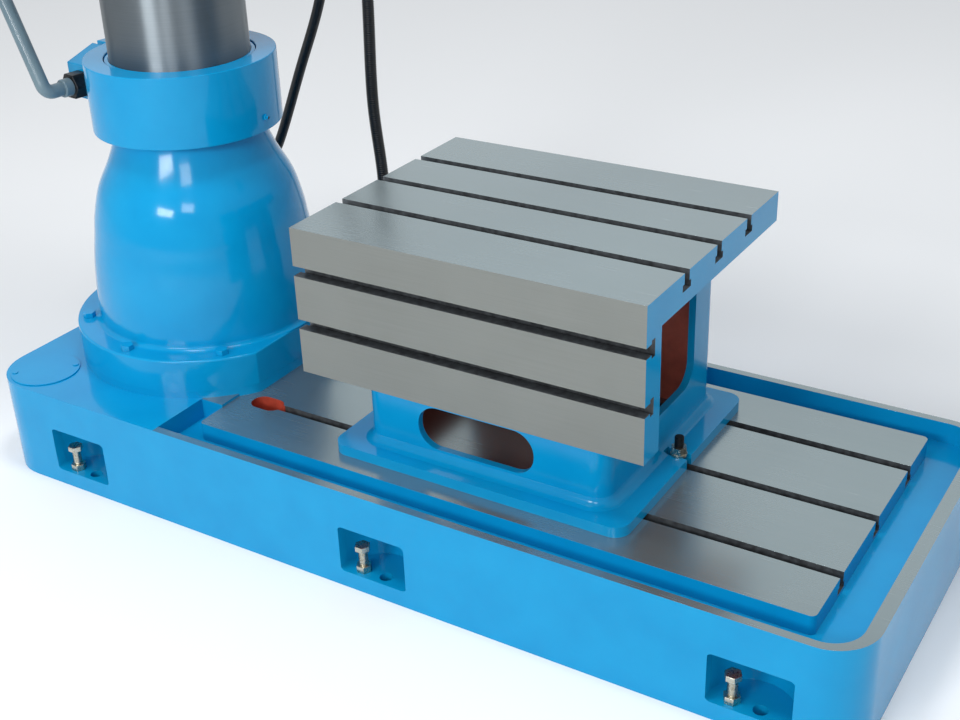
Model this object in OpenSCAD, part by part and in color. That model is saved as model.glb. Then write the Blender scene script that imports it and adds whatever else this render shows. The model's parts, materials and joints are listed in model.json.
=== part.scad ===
// Radial arm drill with a box table.
// Millimetres. The origin is on the floor under the column's axis.
// +X runs along the base towards the table, +Y to the back, +Z up.

/* [Base] */
// Column axis to the column end of the base
base_back = 225; // [215:1:260]
// Column axis to the table end of the base
base_front = 1145; // [1140:1:1300]
// Width of the base
base_w = 554; // [550:1:640]
// Floor to the rim
base_h = 152; // [148:1:180]
// Corner radius at the column end
back_round = 75; // [40:1:90]
// Corner radius at the table end
front_round = 60; // [30:1:80]
// Platform below the rim
platform_drop = 4; // [2:0.5:6]
// Column axis to the start of the platform
platform_start = 158.5; // [150:0.5:165]
// Column axis to the end of the platform
platform_end = 1069.5; // [1040:0.5:1075]
// Width of the platform
platform_w = 446; // [430:1:460]
// Corner radius of the platform
platform_round = 8; // [4:1:14]
// Gutter floor below the platform
gutter_drop = 27; // [22:1:29]
// Rim thickness along the sides
rim_w = 12; // [10:1:18]
// Rim thickness at the table end
rim_front = 18; // [14:1:24]
// Column axis to the back wall of the gutter
gutter_back = 119.5; // [110:0.5:125]
// Width of the nose at the platform
nose_w = 346; // [320:1:380]
// Side of a rib cell under the base
cell_w = 150; // [120:1:155]
// Rib between two cells
cell_rib = 25; // [20:1:40]
// Height of a cell
cell_h = 88; // [60:1:90]
// Column axis to the first cell
cell_start = 215; // [212:1:230]

/* [Base T-slots] */
// Opening of a T-slot
slot_w = 14; // [12:0.5:16]
// Width of the wide part of a T-slot
tee_w = 23; // [21:0.5:25]
// Height of the wide part
tee_h = 9; // [8:0.5:11]
// Depth of a T-slot
slot_depth = 23; // [21:0.5:25]
// Distance between base T-slots
slot_pitch = 132.5; // [120:0.5:150]
// Column axis to the entry pocket of a T-slot
slot_start = 184; // [182:1:200]
// Length of the entry pocket
entry_len = 52; // [45:1:60]
// Width of the entry pocket
entry_w = 33; // [28:0.5:38]

/* [Levelling] */
// Column axis to the pockets at the column end
pocket_back = 43.5; // [30:0.5:50]
// Column axis to the middle pockets
pocket_mid = 491.5; // [450:0.5:530]
// Column axis to the pockets at the table end
pocket_front = 1017.5; // [980:0.5:1025]
// Width of a pocket
pocket_w = 105; // [100:1:110]
// Depth of a pocket
pocket_in = 65; // [60:1:70]
// Floor to the pocket's floor
pocket_floor = 25; // [22:1:30]
// Height of a pocket
pocket_h = 70; // [66:1:80]
// Corner radius of a pocket's mouth
pocket_round = 8; // [4:0.5:12]
// Diameter of an anchor hole
anchor_d = 18; // [14:0.5:20]
// Anchor hole inside the base's face
anchor_in = 16; // [14:0.5:20]
// Pocket's middle to the anchor hole
anchor_side = 10; // [6:0.5:14]
// Pocket's middle to the levelling screw
level_side = 25; // [24:0.5:30]
// Levelling screw inside the base's face
level_in = 15; // [14:0.5:18]
// Diameter of a levelling screw
level_d = 12; // [10:0.5:14]
// Length of a levelling screw under its head
level_len = 58; // [55:1:60]
// Across the flats of its hexagons
level_af = 19; // [17:0.5:21]
// Height of its head
level_head = 8; // [6:0.5:9]
// Height of its lock nut
level_nut = 10; // [8:0.5:12]

/* [Sump cover] */
// Column axis to the cover, towards the column end
sump_x = 157; // [152:0.5:160]
// Column axis to the cover, towards the front
sump_y = 218; // [210:0.5:220]
// Diameter of the cover
sump_d = 104; // [90:1:106]
// Thickness of the cover
sump_t = 2; // [1.5:0.5:4]
// Diameter of the well under it
well_d = 76; // [60:1:80]
// Depth of the well
well_h = 90; // [60:1:110]
// Diameter of a cover screw
sump_screw_d = 9; // [7:0.5:10]
// Height of a screw head
sump_screw_h = 1.5; // [1:0.5:3]

/* [Pedestal] */
// Height of the seat pad on the base
seat_h = 10; // [8:0.5:14]
// Radius of the flange
flange_r = 208; // [206:1:212]
// Column axis to the flange's flat on the table side
flange_flat = 178; // [175:0.5:180]
// Thickness of the flange
flange_h = 51; // [45:0.5:55]
// Radius of the bulb at the flange
bulb_r = 173; // [170:0.5:173.5]
// Height of the bulb above the flange
bulb_h = 290; // [284:1:296]
// Radius of the neck inside the clamp ring
neck_r = 108.5; // [107.5:0.5:110]
// Radius of the shoulder under the clamp ring
shoulder_r = 114; // [112:0.5:116]
// Height of the shoulder
shoulder_h = 2.5; // [2:0.5:4]
// Height of the neck above the shoulder
neck_h = 101.5; // [96:0.5:103]
// Radius of the hollow inside the bulb
hollow_r = 128; // [115:1:132]
// Height of the hollow
hollow_h = 110; // [80:1:120]
// Thickness of the pedestal's floor
sole_t = 16; // [12:1:20]
// Radius of the hole in the floor
sole_r = 40; // [30:1:45]
// Radius of the bolt circle
bolt_circle_r = 190; // [188.5:0.5:191]
// Across the flats of a flange bolt
flange_af = 17; // [15:0.5:19]
// Height of a bolt head
flange_head = 8; // [6:0.5:10]
// Diameter of a bolt shank
flange_shank = 10; // [8:0.5:12]
// Length of a bolt shank
flange_shank_len = 75; // [60:1:90]
// Inner radius of the thrust bearing
bearing_in_r = 52; // [46:1:60]
// Outer radius of the thrust bearing
bearing_out_r = 97; // [92:0.5:98]
// Height of a bearing race
race_h = 10; // [8:0.5:11]
// Height of the ball row between the races
ball_gap = 8; // [6:0.5:9]

/* [Column clamp] */
// Outer radius of the clamp ring
ring_r = 138.5; // [134:0.5:142]
// Height of the clamp ring
ring_h = 103; // [100:0.5:106]
// Clearance round the neck
ring_gap = 0.7; // [0.4:0.05:1]
// Width of the split
split_w = 8; // [6:0.5:10]
// Column axis to the end of the lugs
lug_reach = 206; // [198:0.5:210]
// Front of the lugs
lug_front = 55; // [50:0.5:58]
// Back of the lugs
lug_back = 30; // [25:0.5:40]
// Height of the lugs at their front
lug_h = 52; // [48:1:56]
// Rise of the lugs' top to the back
lug_rise = 20; // [14:0.5:24]
// Ring top to the top of the lugs
lug_drop = 14; // [10:0.5:18]
// Corner radius of the lugs
lug_round = 16; // [8:0.5:20]
// Turn of the lugs, in degrees
lug_turn = 8; // [4:1:12]
// Column axis to the clamp screw
clamp_x = 170; // [166:0.5:174]
// Diameter of the clamp screw
clamp_d = 16; // [14:0.5:18]
// Across the flats of its nut
clamp_af = 36; // [32:0.5:38]
// Height of its nut
clamp_nut_h = 26; // [20:0.5:28]
// Height of the screw's round head
clamp_head_h = 10; // [8:0.5:12]
// Diameter of the lever's tube
lever_d = 21; // [18:0.5:24]
// Length of the lever's stub
lever_stub = 29; // [20:0.5:32]
// Bend radius of the lever
lever_bend = 13; // [12.5:0.5:20]
// Length of the lever's arm
lever_arm = 225; // [200:1:240]
// Lean of the arm from upright, in degrees
lever_lean = 26; // [15:1:30]
// Diameter of the oil nipple
nipple_d = 9; // [7:0.5:10]
// Length of the oil nipple
nipple_len = 6; // [4:0.5:10]
// Ring foot to the oil nipple
nipple_up = 20; // [14:1:40]
// Direction of the oil nipple round the column, in degrees
nipple_turn = 5; // [0:1:30]

/* [Column] */
// Diameter of the column
column_d = 203; // [201:0.5:204]
// Wall of the column
column_wall = 22; // [18:1:30]
// Width of the key
key_w = 24; // [20:1:30]
// Depth of the key in the column
key_in = 6; // [5:0.5:9]
// Key beyond the column's face
key_out = 8; // [6:0.5:10]
// Floor to the key's foot
key_foot = 720; // [700:1:740]

/* [Box table] */
// Column axis to the table
table_x = 345.5; // [340:0.5:420]
// Length of the table
table_len = 500; // [480:1:560]
// Column axis to the table's front face
table_front = 203; // [198:1:212]
// Width of the table
table_w = 394; // [380:1:410]
// Height of the table above the platform
table_h = 327; // [320:1:329]
// Thickness of the top plate
top_t = 41; // [38:0.5:46]
// Height of the front plate
front_h = 206; // [200:1:215]
// Thickness of the front plate
front_t = 40; // [36:0.5:44]
// Distance between the top T-slots
top_pitch = 94; // [88:1:110]
// Front face to the middle top T-slot
top_mid = 200; // [190:1:205]
// Top to the upper front T-slot
front_slot_top = 60; // [56:0.5:66]
// Distance between the front T-slots
front_pitch = 76; // [66:0.5:84]
// Body inside the plate's ends
body_in = 68; // [62:1:74]
// Front face to the body's back wall
body_back = 366; // [350:1:372]
// Wall of the body
body_wall = 10; // [8:0.5:14]
// Corner radius of the body
body_round = 25; // [18:1:30]
// Thickness of the foot
foot_t = 15; // [13:0.5:20]
// Foot inside the plate's ends
foot_in = 29; // [25:1:32]
// Front face to the foot's front
foot_front = 8; // [3:0.5:10]
// Front face to the foot's back
foot_back = 391; // [380:1:394]
// Corner radius of the foot
foot_round = 22; // [16:1:26]
// Root fillet of the body
fillet = 14; // [10:0.5:16]
// Length of the front window
window_len = 175; // [160:1:190]
// Body's end to the front window
window_in = 86.5; // [80:0.5:95]
// Height of the front window
front_window_h = 62; // [56:1:70]
// Height of an end window
window_h = 178; // [150:1:184]
// Sill of the front window above the foot
window_sill = 16; // [15:0.5:24]
// Width of an end window
end_window_w = 190; // [170:1:200]
// Sill of an end window above the foot
end_sill = 58; // [50:1:65]
// Length of the end slots in the foot
end_slot_len = 34; // [30:1:38]
// Foot's end to a table bolt
table_bolt_in = 15; // [13:0.5:15.5]
// Stud above its nut
stud_over = 15; // [8:0.5:18]
// Across the flats of a table nut
stud_af = 19; // [18:0.5:22]
// Height of a table nut
stud_nut = 13; // [10:0.5:14]

/* [Arm] */
// Floor to the arm's foot
arm_z = 1000; // [990:1:1030]
// Height of the sleeve
sleeve_h = 380; // [370:1:382]
// Room above the sleeve for the arm to rise
lift_room = 260; // [252:1:300]
// Outer radius of the sleeve
sleeve_r = 150; // [145:0.5:155]
// Column axis to the arm's end
arm_len = 1250; // [1240:1:1300]
// Column axis to the face of the ways
way_y = 85; // [84:0.5:92]
// Thickness of the way plate
way_t = 30; // [26:0.5:34]
// Arm's foot to the lower edge of the way plate
way_low = 50; // [48:0.5:54]
// Height of the way plate
way_h = 280; // [276:1:284]
// Thickness of the beam behind the way plate
beam_t = 140; // [120:1:150]
// Beam inside the way plate's edges
beam_in = 38; // [34:1:44]
// Wall of the hollow beam
beam_wall = 16; // [12:1:20]
// Rise of the beam's underside along its length
beam_rise = 30; // [20:1:40]
// Column axis to the start of the ways
way_start = 222; // [218:1:226]
// Slit of the sleeve
slit_w = 6; // [5:0.5:8]
// Column axis to the front of the clamp lugs
arm_lug_reach = 192; // [188:1:200]
// Half width of the clamp lugs
arm_lug_half = 38; // [34:1:42]
// Column axis to the arm clamp screw
arm_clamp_y = 171; // [168:0.5:174]
// Section of the rack
rack_w = 18; // [16:0.5:18.5]
// Pitch of a rack tooth
rack_pitch = 10; // [9:0.5:11]
// Depth of a rack tooth
rack_tooth = 6; // [5:0.5:6.5]
// Thickness of the arm's end cover
end_t = 8; // [6:0.5:12]

/* [Lift] */
// Column axis to the lift screw
screw_r = 158; // [156:0.5:162]
// Direction of the lift screw round the column, in degrees
screw_turn = 150; // [145:1:155]
// Diameter of the lift screw
screw_d = 32; // [28:0.5:34]
// Floor to the foot of the lift screw
screw_foot = 770; // [766:1:790]
// Outer diameter of the lift nut
nut_d = 54; // [48:0.5:56]
// Length of the lift nut
nut_len = 80; // [70:1:90]
// Outer diameter of the nut's flange
nut_flange_d = 80; // [72:1:84]
// Thickness of the nut's flange
nut_flange_t = 10; // [8:0.5:12]
// Radius of the lug round the nut
nut_lug_r = 44; // [42:0.5:46]
// Radius of the housing on the column
cap_r = 130; // [126:1:136]
// Height of the housing
cap_h = 110; // [104:1:120]
// Floor of the housing
cap_floor = 28; // [24:1:34]
// Radius of the housing round the lift gear
gear_case_r = 78; // [76:0.5:82]
// Wall of the housing
gear_case_wall = 10; // [8:0.5:12]
// Outer radius of the lift gear
lift_gear_r = 62; // [58:0.5:63]
// Outer radius of the lift pinion
lift_pinion_r = 36; // [32:0.5:38]
// Distance between the lift gear and its pinion
lift_centres = 99; // [98.5:0.5:104]
// Width of the lift gear
lift_gear_w = 26; // [22:0.5:30]
// Thickness of the housing's lid
lid_t = 12; // [10:0.5:15]
// Radius of the lift motor
lift_motor_r = 74; // [68:0.5:78]
// Height of the lift motor
lift_motor_h = 230; // [200:1:250]

/* [Cabinet] */
// Column axis to the cabinet
cabinet_x = 186; // [184:1:196]
// Depth of the cabinet along the arm
cabinet_d = 200; // [180:1:230]
// Width of the cabinet
cabinet_w = 270; // [250:1:300]
// Height of the cabinet
cabinet_h = 330; // [300:1:340]
// Wall of the cabinet
cabinet_wall = 4; // [3:0.5:6]
// Arm's foot to the cabinet's foot
cabinet_up = 20; // [16:1:30]
// Thickness of the cabinet's cover
cabinet_cover_t = 6; // [4:0.5:8]
// Diameter of the main switch
switch_d = 52; // [46:0.5:56]
// Height of the main switch
switch_h = 14; // [12:0.5:18]
// Length of the switch's grip
switch_grip = 62; // [56:0.5:66]

/* [Drill head] */
// Column axis to the spindle
spindle_x = 600; // [590:1:640]
// Width of the head
head_w = 320; // [310:1:330]
// Arm's foot to the head's foot
head_up = 20; // [18:0.5:22]
// Height of the head
head_h = 360; // [356:1:366]
// Corner radius of the head's front
head_round = 28; // [20:1:34]
// Running clearance on the ways
way_gap = 0.3; // [0.2:0.05:0.4]
// Thickness of the hooks over the ways
hook_t = 29; // [26:0.5:29.5]
// Hooks behind the way plate
hook_in = 20; // [16:0.5:22]
// Height of a keeper strip
keeper_h = 24; // [20:0.5:26]
// Gear chamber above the head's foot
chamber_up = 262; // [258:1:270]
// Wall beside the gear chamber
chamber_wall = 14; // [13:0.5:15]
// Left of the gear chamber from the spindle
chamber_left = 72; // [70:1:76]
// Thickness of the top cover
cover_t = 15; // [12:0.5:18]
// Gear chamber's wall to the motor pinion
gear_room = 4; // [3:0.5:6]
// Clearance between the tips of the drive gears
gear_play = 0.68; // [0.5:0.02:1]
// Radius of the drive motor over its fins
motor_r = 79; // [74:0.5:80]
// Height of the drive motor
motor_h = 215; // [200:1:240]
// Height of a fin
fin_h = 10; // [8:0.5:12]
// Thickness of a fin
fin_t = 3; // [2.5:0.5:4]
// Thickness of a motor flange
motor_flange_t = 14; // [12:0.5:18]
// Height of the fan cowl
cowl_h = 55; // [48:1:60]
// Thickness of the cowl
cowl_t = 3; // [2.5:0.5:4]
// Length of a terminal box
box_len = 90; // [80:1:96]
// Depth of a terminal box
box_d = 42; // [36:1:48]
// Height of a terminal box
box_h = 70; // [60:1:80]
// Outer radius of the drive gear
drive_gear_r = 50.5; // [46:0.5:51]
// Outer radius of the motor pinion
motor_pinion_r = 65; // [60:0.5:65]
// Width of the drive gears
drive_gear_w = 24; // [20:0.5:28]
// Outer radius of the spindle cap
cap_tube_r = 30; // [26:0.5:32]
// Height of the spindle cap
cap_tube_h = 175; // [170:1:185]
// Wall of the spindle cap
cap_tube_wall = 5; // [4:0.5:7]

/* [Quill and spindle] */
// Radius of the quill
quill_r = 42; // [40:0.5:44]
// Head's foot to the quill's foot, downwards
quill_below = 60; // [56:1:62]
// Length of the quill
quill_len = 325; // [315:1:330]
// Radius of the spindle in the quill
spindle_r = 26; // [25.5:0.5:27]
// Radius of the splined end
spline_r = 16; // [14:0.5:18]
// Radius of the spindle's nose
nose_r = 34; // [32:0.5:38]
// Height of the nose
nose_h = 20; // [16:0.5:24]
// Length of the spindle over the nose
spindle_len = 570; // [566:1:575]
// Length of the thick part of the spindle
spindle_thick = 240; // [220:1:250]
// Mouth diameter of the taper socket
taper_d = 31.3; // [30:0.1:32]
// Inner end diameter of the taper socket
taper_end_d = 26; // [25:0.1:27]
// Depth of the taper socket
taper_len = 103; // [95:1:110]
// Width of the drift slot
drift_w = 8; // [6:0.5:9]
// Height of the drift slot
drift_h = 32; // [26:0.5:36]
// Height of a spindle bearing
spindle_bearing_h = 28; // [24:0.5:32]
// Outer radius of a spindle bearing
spindle_bearing_r = 36; // [35:0.5:37]
// Depth of the flat for the quill's rack
quill_flat = 8; // [7:0.5:9]

/* [Hand controls] */
// Spindle to the feed hub, along the arm
hub_x = 85; // [84:0.5:90]
// Head's foot to the feed hub
hub_up = 95; // [90:1:100]
// Radius of the feed hub
hub_r = 40; // [36:0.5:44]
// Length of the feed hub
hub_len = 58; // [52:1:64]
// Number of feed handles
handle_count = 4; // [3:1:4]
// Feed hub's axis to a handle's end
handle_reach = 132; // [120:1:136]
// Radius of a handle's rod
handle_r = 8; // [7:0.5:9]
// Radius of a ball knob
knob_r = 15; // [13:0.5:16]
// Radius of a control shaft
shaft_r = 12; // [10:0.5:13]
// Outer radius of the feed pinion
feed_pinion_r = 48; // [46:0.5:48.5]
// Width of the feed pinion
feed_pinion_w = 26; // [22:0.5:28]
// Spindle to the traverse wheel, along the arm
wheel_x = 108; // [106:0.5:110]
// Head's foot to the traverse wheel
wheel_up = 240; // [236:1:244]
// Radius of the traverse wheel
wheel_r = 70; // [64:0.5:72]
// Thickness of its rim
wheel_rim = 16; // [14:0.5:20]
// Thickness of its dished web
wheel_web = 7; // [6:0.5:9]
// Gap between the head and a wheel
wheel_gap = 12; // [10:0.5:16]
// Outer radius of the traverse pinion
pinion_r = 24; // [22:0.5:25]
// Length of the crank handle
crank_len = 62; // [54:1:68]
// Radius of the crank handle
crank_r = 11; // [10:0.5:12]
// Radius of the fine feed wheel
fine_r = 50; // [44:0.5:54]
// Head's foot to the speed levers
speed_up = 302; // [298:1:306]
// Spindle to the first speed lever
speed_x = 12; // [10:0.5:14]
// Distance between the speed levers
speed_pitch = 104; // [102:0.5:108]
// Radius of a lever's boss
boss_r = 20; // [18:0.5:22]
// Height of a lever's boss
boss_h = 22; // [18:0.5:26]
// Length of a speed lever
speed_len = 62; // [56:0.5:64]
// Length of a clamp lever
clamp_len = 120; // [105:1:130]
// Radius of a lever's rod
rod_r = 6; // [5:0.5:7]
// Head's left edge to the button panel
panel_in = 6; // [4:0.5:8]
// Width of the button panel
panel_w = 80; // [76:0.5:82]
// Height of the button panel
panel_h = 104; // [98:1:110]
// Thickness of the button panel
panel_t = 22; // [18:0.5:26]
// Head's foot to the button panel
panel_up = 22; // [18:1:30]
// Diameter of a button
button_d = 24; // [20:0.5:26]
// Button beyond the panel
button_out = 8; // [7:0.5:10]
// Distance between the buttons
button_pitch = 38; // [34:0.5:40]

/* [Pump and conduits] */
// Column axis to the pump, to the column end
pump_x = 160; // [156:0.5:164]
// Column axis to the pump, to the back
pump_y = 222; // [218:0.5:224]
// Radius of the pump's motor
pump_r = 46; // [40:0.5:48]
// Height of the pump over the base
pump_h = 185; // [170:1:195]
// Thickness of the pump's flange
pump_flange_t = 14; // [12:0.5:18]
// Radius of the pump's flange
pump_flange_r = 50; // [48:0.5:52]
// Diameter of a conduit
conduit_d = 17; // [15:0.5:18]
// Depth of a rib of the ribbed conduit
rib_h = 1.2; // [0.8:0.1:1.6]
// Wall of the ribbed conduit
conduit_wall = 2.4; // [2:0.1:3]
// Number of ribs
rib_count = 190; // [100:1:200]
// Column axis to the pump gland, to the column end
pump_gland_x = 172; // [170:0.5:176]
// Column axis to the pump gland, to the back
pump_gland_y = 302; // [298:0.5:306]
// Diameter of a gland
gland_d = 26; // [24:0.5:28]
// Length of a gland
gland_len = 24; // [20:0.5:28]
// Column axis to the pad that the top glands sit on
gland_seat = 126; // [125.5:0.5:132]
// Side of the base to the conduits' plane
conduit_out = 40; // [36:0.5:45]
// Width of the elbow box on the base
elbow_w = 56; // [50:1:62]
// Height of the elbow box
elbow_h = 60; // [52:1:70]
// Column axis to the elbow box
elbow_x = 115; // [110:0.5:118]
// Floor to the top of the elbow box
elbow_top = 100; // [92:1:110]

/* [Hidden] */
$fn = 64;
// Cuts run past the face they open by this much
over = 1;
// Running fit between a bore and what turns or slides in it, on the radius
fit = 0.1;
// Clearance of a bolt in its hole, on the diameter
hole_gap = 1;
// Gap between parts that pass each other
gap = 0.3;
base_half = base_w / 2;
platform_z = base_h - platform_drop;
gutter_z = platform_z - gutter_drop;
slot_ys = [-slot_pitch, 0, slot_pitch];
pocket_xs = [-pocket_back, pocket_mid, pocket_front];
sides = [-1, 1];
cell_shares = [0, 1, 2, 3, 4];
seat_z = base_h + seat_h;
flange_top = seat_z + flange_h;
bulb_top = flange_top + bulb_h;
ring_z = bulb_top + shoulder_h + shoulder_h;
ring_top = ring_z + ring_h;
neck_top = ring_z + neck_h;
column_top = arm_z + sleeve_h + lift_room;
column_r = column_d / 2;
bore_r = column_r + fit;
bearing_z = seat_z + sole_t;
column_foot = bearing_z + race_h + ball_gap + race_h;
ball_r = ball_gap / 2 + race_h / 4;
ball_ring_r = (bearing_in_r + bearing_out_r) / 2;
ball_angles = [for (i = [0:17]) i * 20];
bolt_angles = [45, 90, 135, 180, 225, 270, 315];
// Radius of the bulb, as shares from its neck to its foot, and the heights as shares of the bulb
bulb_shares = [[1, 0], [0.985, 0.157], [0.955, 0.258], [0.907, 0.359], [0.83, 0.465],
    [0.754, 0.587], [0.585, 0.714], [0.308, 0.828], [0.16, 0.9], [0.06, 0.96], [0, 1]];
lug_z = ring_h - lug_drop - lug_rise - lug_h;
clamp_z = ring_z + lug_z + lug_h / 2;
lever_y = -lug_front - clamp_nut_h;
table_z = platform_z + table_h;
foot_z = platform_z + foot_t;
plate_under = table_z - top_t;
// The body's front wall runs up behind the front plate
body_front = front_t - over;
// Steps of the root fillet, in degrees
root_angles = [8, 23, 38, 52, 67, 82];
// A table bolt's shank and head keep this clearance in a T-slot
stud_d = slot_w - 2 * hole_gap;
stud_head_w = tee_w - 2 * hole_gap;
stud_head_h = tee_h - 2 * hole_gap;
bolt_xs = [table_x + foot_in + table_bolt_in, table_x + table_len - foot_in - table_bolt_in];
stud_foot = platform_z - slot_depth + (tee_h - stud_head_h) / 2;
way_z = arm_z + way_low;
way_top = way_z + way_h;
way_back = way_y + way_t;
beam_back = way_back + beam_t;
rack_z = arm_z + head_up + wheel_up + pinion_r + gap;
rack_count = floor((arm_len - way_start - end_t) / rack_pitch);
screw_x = screw_r * cos(screw_turn);
screw_y = screw_r * sin(screw_turn);
nut_z = arm_z + sleeve_h / 2 - nut_len / 2;
cap_top = column_top + cap_h;
cap_inside = column_top + cap_floor;
lift_gear_z = cap_inside + gear_case_wall;
lift_dir = [-cos(screw_turn), -sin(screw_turn)];
lift_motor_x = screw_x + lift_centres * lift_dir.x;
lift_motor_y = screw_y + lift_centres * lift_dir.y;
cabinet_z = arm_z + cabinet_up;
head_z = arm_z + head_up;
head_top = head_z + head_h;
head_left = spindle_x - head_w / 2;
head_back = way_y - way_gap;
cover_z = head_top + cover_t;
chamber_z = head_z + chamber_up;
gear_z = chamber_z + gear_case_wall;
quill_z = head_z - quill_below;
spindle_z = quill_z - nose_h;
hub_z = head_z + hub_up;
hub_at = spindle_x + hub_x;
wheel_at = spindle_x - wheel_x;
wheel_z = head_z + wheel_up;
motor_dx = head_w / 2 - chamber_wall - gear_room - motor_pinion_r;
gear_centres = drive_gear_r + motor_pinion_r + gear_play;
motor_dy = sqrt(gear_centres * gear_centres - motor_dx * motor_dx);
head_front = motor_dy + motor_pinion_r + gear_room + chamber_wall;
motor_at = [spindle_x + motor_dx, -motor_dy];
panel_x = head_left + panel_in;
panel_z = head_z + panel_up;
button_z = panel_z + panel_h / 2;
button_x = panel_x + panel_w / 2;
pump_z = base_h;
elbow_z = elbow_top - elbow_h;
conduit_y = base_half + conduit_out;
conduit_r = conduit_d / 2;
gland_y = gland_seat + gland_len;
gland_z = column_top + cap_h / 2;
gland_xs = [60, 105];
pump_box_y = pump_y + pump_r;
pump_gland_z = pump_z + box_h + gland_len;
// Routes of the two conduits
pump_route = [[-pump_gland_x, pump_gland_y, pump_gland_z - gland_len],
    [-pump_gland_x, pump_gland_y, pump_gland_z - gland_len / 3],
    [-pump_gland_x, pump_gland_y, pump_gland_z], [-168, conduit_y - 12, 274],
    [-147, conduit_y - 4, 308], [-107, conduit_y, 355], [-42, conduit_y, 496], [12, conduit_y, 617],
    [46, conduit_y, column_top - 900], [60, conduit_y, column_top - 740],
    [60, conduit_y, column_top - 540], [60, conduit_y, column_top - 340],
    [60, conduit_y, column_top - 140], [60, conduit_y - 3, column_top - 50],
    [60, conduit_y - 21, column_top + 15], [60, 250, gland_z - gland_len / 3],
    [60, 200, gland_z], [60, gland_y, gland_z], [60, gland_y - gland_len, gland_z]];
supply_route = [[elbow_x, conduit_y, elbow_top], [elbow_x, conduit_y, elbow_top + gland_len / 2],
    [elbow_x, conduit_y, elbow_top + gland_len],
    [116, conduit_y, 200], [114, conduit_y, 336], [104, conduit_y, 464], [108, conduit_y, 627],
    [110, conduit_y, column_top - 840], [110, conduit_y, column_top - 640],
    [109, conduit_y, column_top - 440], [107, conduit_y, column_top - 140],
    [106, conduit_y - 3, column_top - 50], [105, conduit_y - 21, column_top + 15],
    [105, 250, gland_z - gland_len / 3], [105, 200, gland_z],
    [105, gland_y, gland_z], [105, gland_y - gland_len, gland_z]];
paint = "#239ddc";
steel = "#c9ccce";
zinc = "#c8c4b0";
dark = "#1b1c1e";
brass = "#b08d57";
grey = "#6e8490";

// Flat shapes

module round_plan(a, b, r) {
    translate([a.x + r, a.y]) square([b.x - a.x - 2 * r, b.y - a.y]);
    translate([a.x, a.y + r]) square([b.x - a.x, b.y - a.y - 2 * r]);
    for (x = [a.x + r, b.x - r], y = [a.y + r, b.y - r]) translate([x, y]) circle(r);
}
module base_plan() {
    translate([-base_back + back_round, -base_half])
        square([base_back - back_round + base_front - front_round, base_w]);
    translate([-base_back, -base_half + back_round])
        square([base_back + base_front - front_round, base_w - 2 * back_round]);
    translate([0, -base_half + front_round]) square([base_front, base_w - 2 * front_round]);
    for (s = sides) {
        translate([-base_back + back_round, s * (base_half - back_round)]) circle(back_round);
        translate([base_front - front_round, s * (base_half - front_round)]) circle(front_round);
    }
}
module gutter_plan() {
    difference() {
        union() {
            round_plan([gutter_back, -base_half + rim_w], [base_front - rim_front, base_half - rim_w],
                front_round - rim_front);
            translate([gutter_back, -base_half + rim_w]) square([front_round, base_w - 2 * rim_w]);
        }
        round_plan([platform_start, -platform_w / 2], [platform_end, platform_w / 2], platform_round);
        translate([gutter_back - over, -nose_w / 2])
            square([platform_start - gutter_back + 2 * over, nose_w]);
    }
}
module flange_plan() {
    difference() {
        circle(flange_r, $fn = 96);
        translate([flange_flat, -flange_r]) square([flange_r, 2 * flange_r]);
    }
}
module gear_plan(r, count, depth) {
    polygon([for (i = [0:count - 1], k = [0:3])
        let (a = (i + [0.05, 0.3, 0.45, 0.9][k]) * 360 / count,
            d = k == 1 || k == 2 ? r : r - depth)
        [d * cos(a), d * sin(a)]]);
}

// Small solids

module tee_slot(len) {
    translate([0, -slot_w / 2, -slot_depth]) cube([len, slot_w, slot_depth + over]);
    translate([0, -tee_w / 2, -slot_depth]) cube([len, tee_w, tee_h]);
}
module hex_bar(af, h) {
    cylinder(d = af / cos(30), h = h, $fn = 6);
}
module box(a, b) {
    translate(a) cube(b - a);
}
module to_front() {
    rotate([90, 0, 0]) children();
}
module at_pockets() {
    for (x = pocket_xs, s = sides) translate([x, s * base_half, 0]) mirror([0, s > 0 ? 1 : 0, 0]) children();
}
module knob_lever(len, r, knob) {
    cylinder(r = r, h = len);
    translate([0, 0, len]) sphere(knob, $fn = 32);
}

// Base

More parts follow.
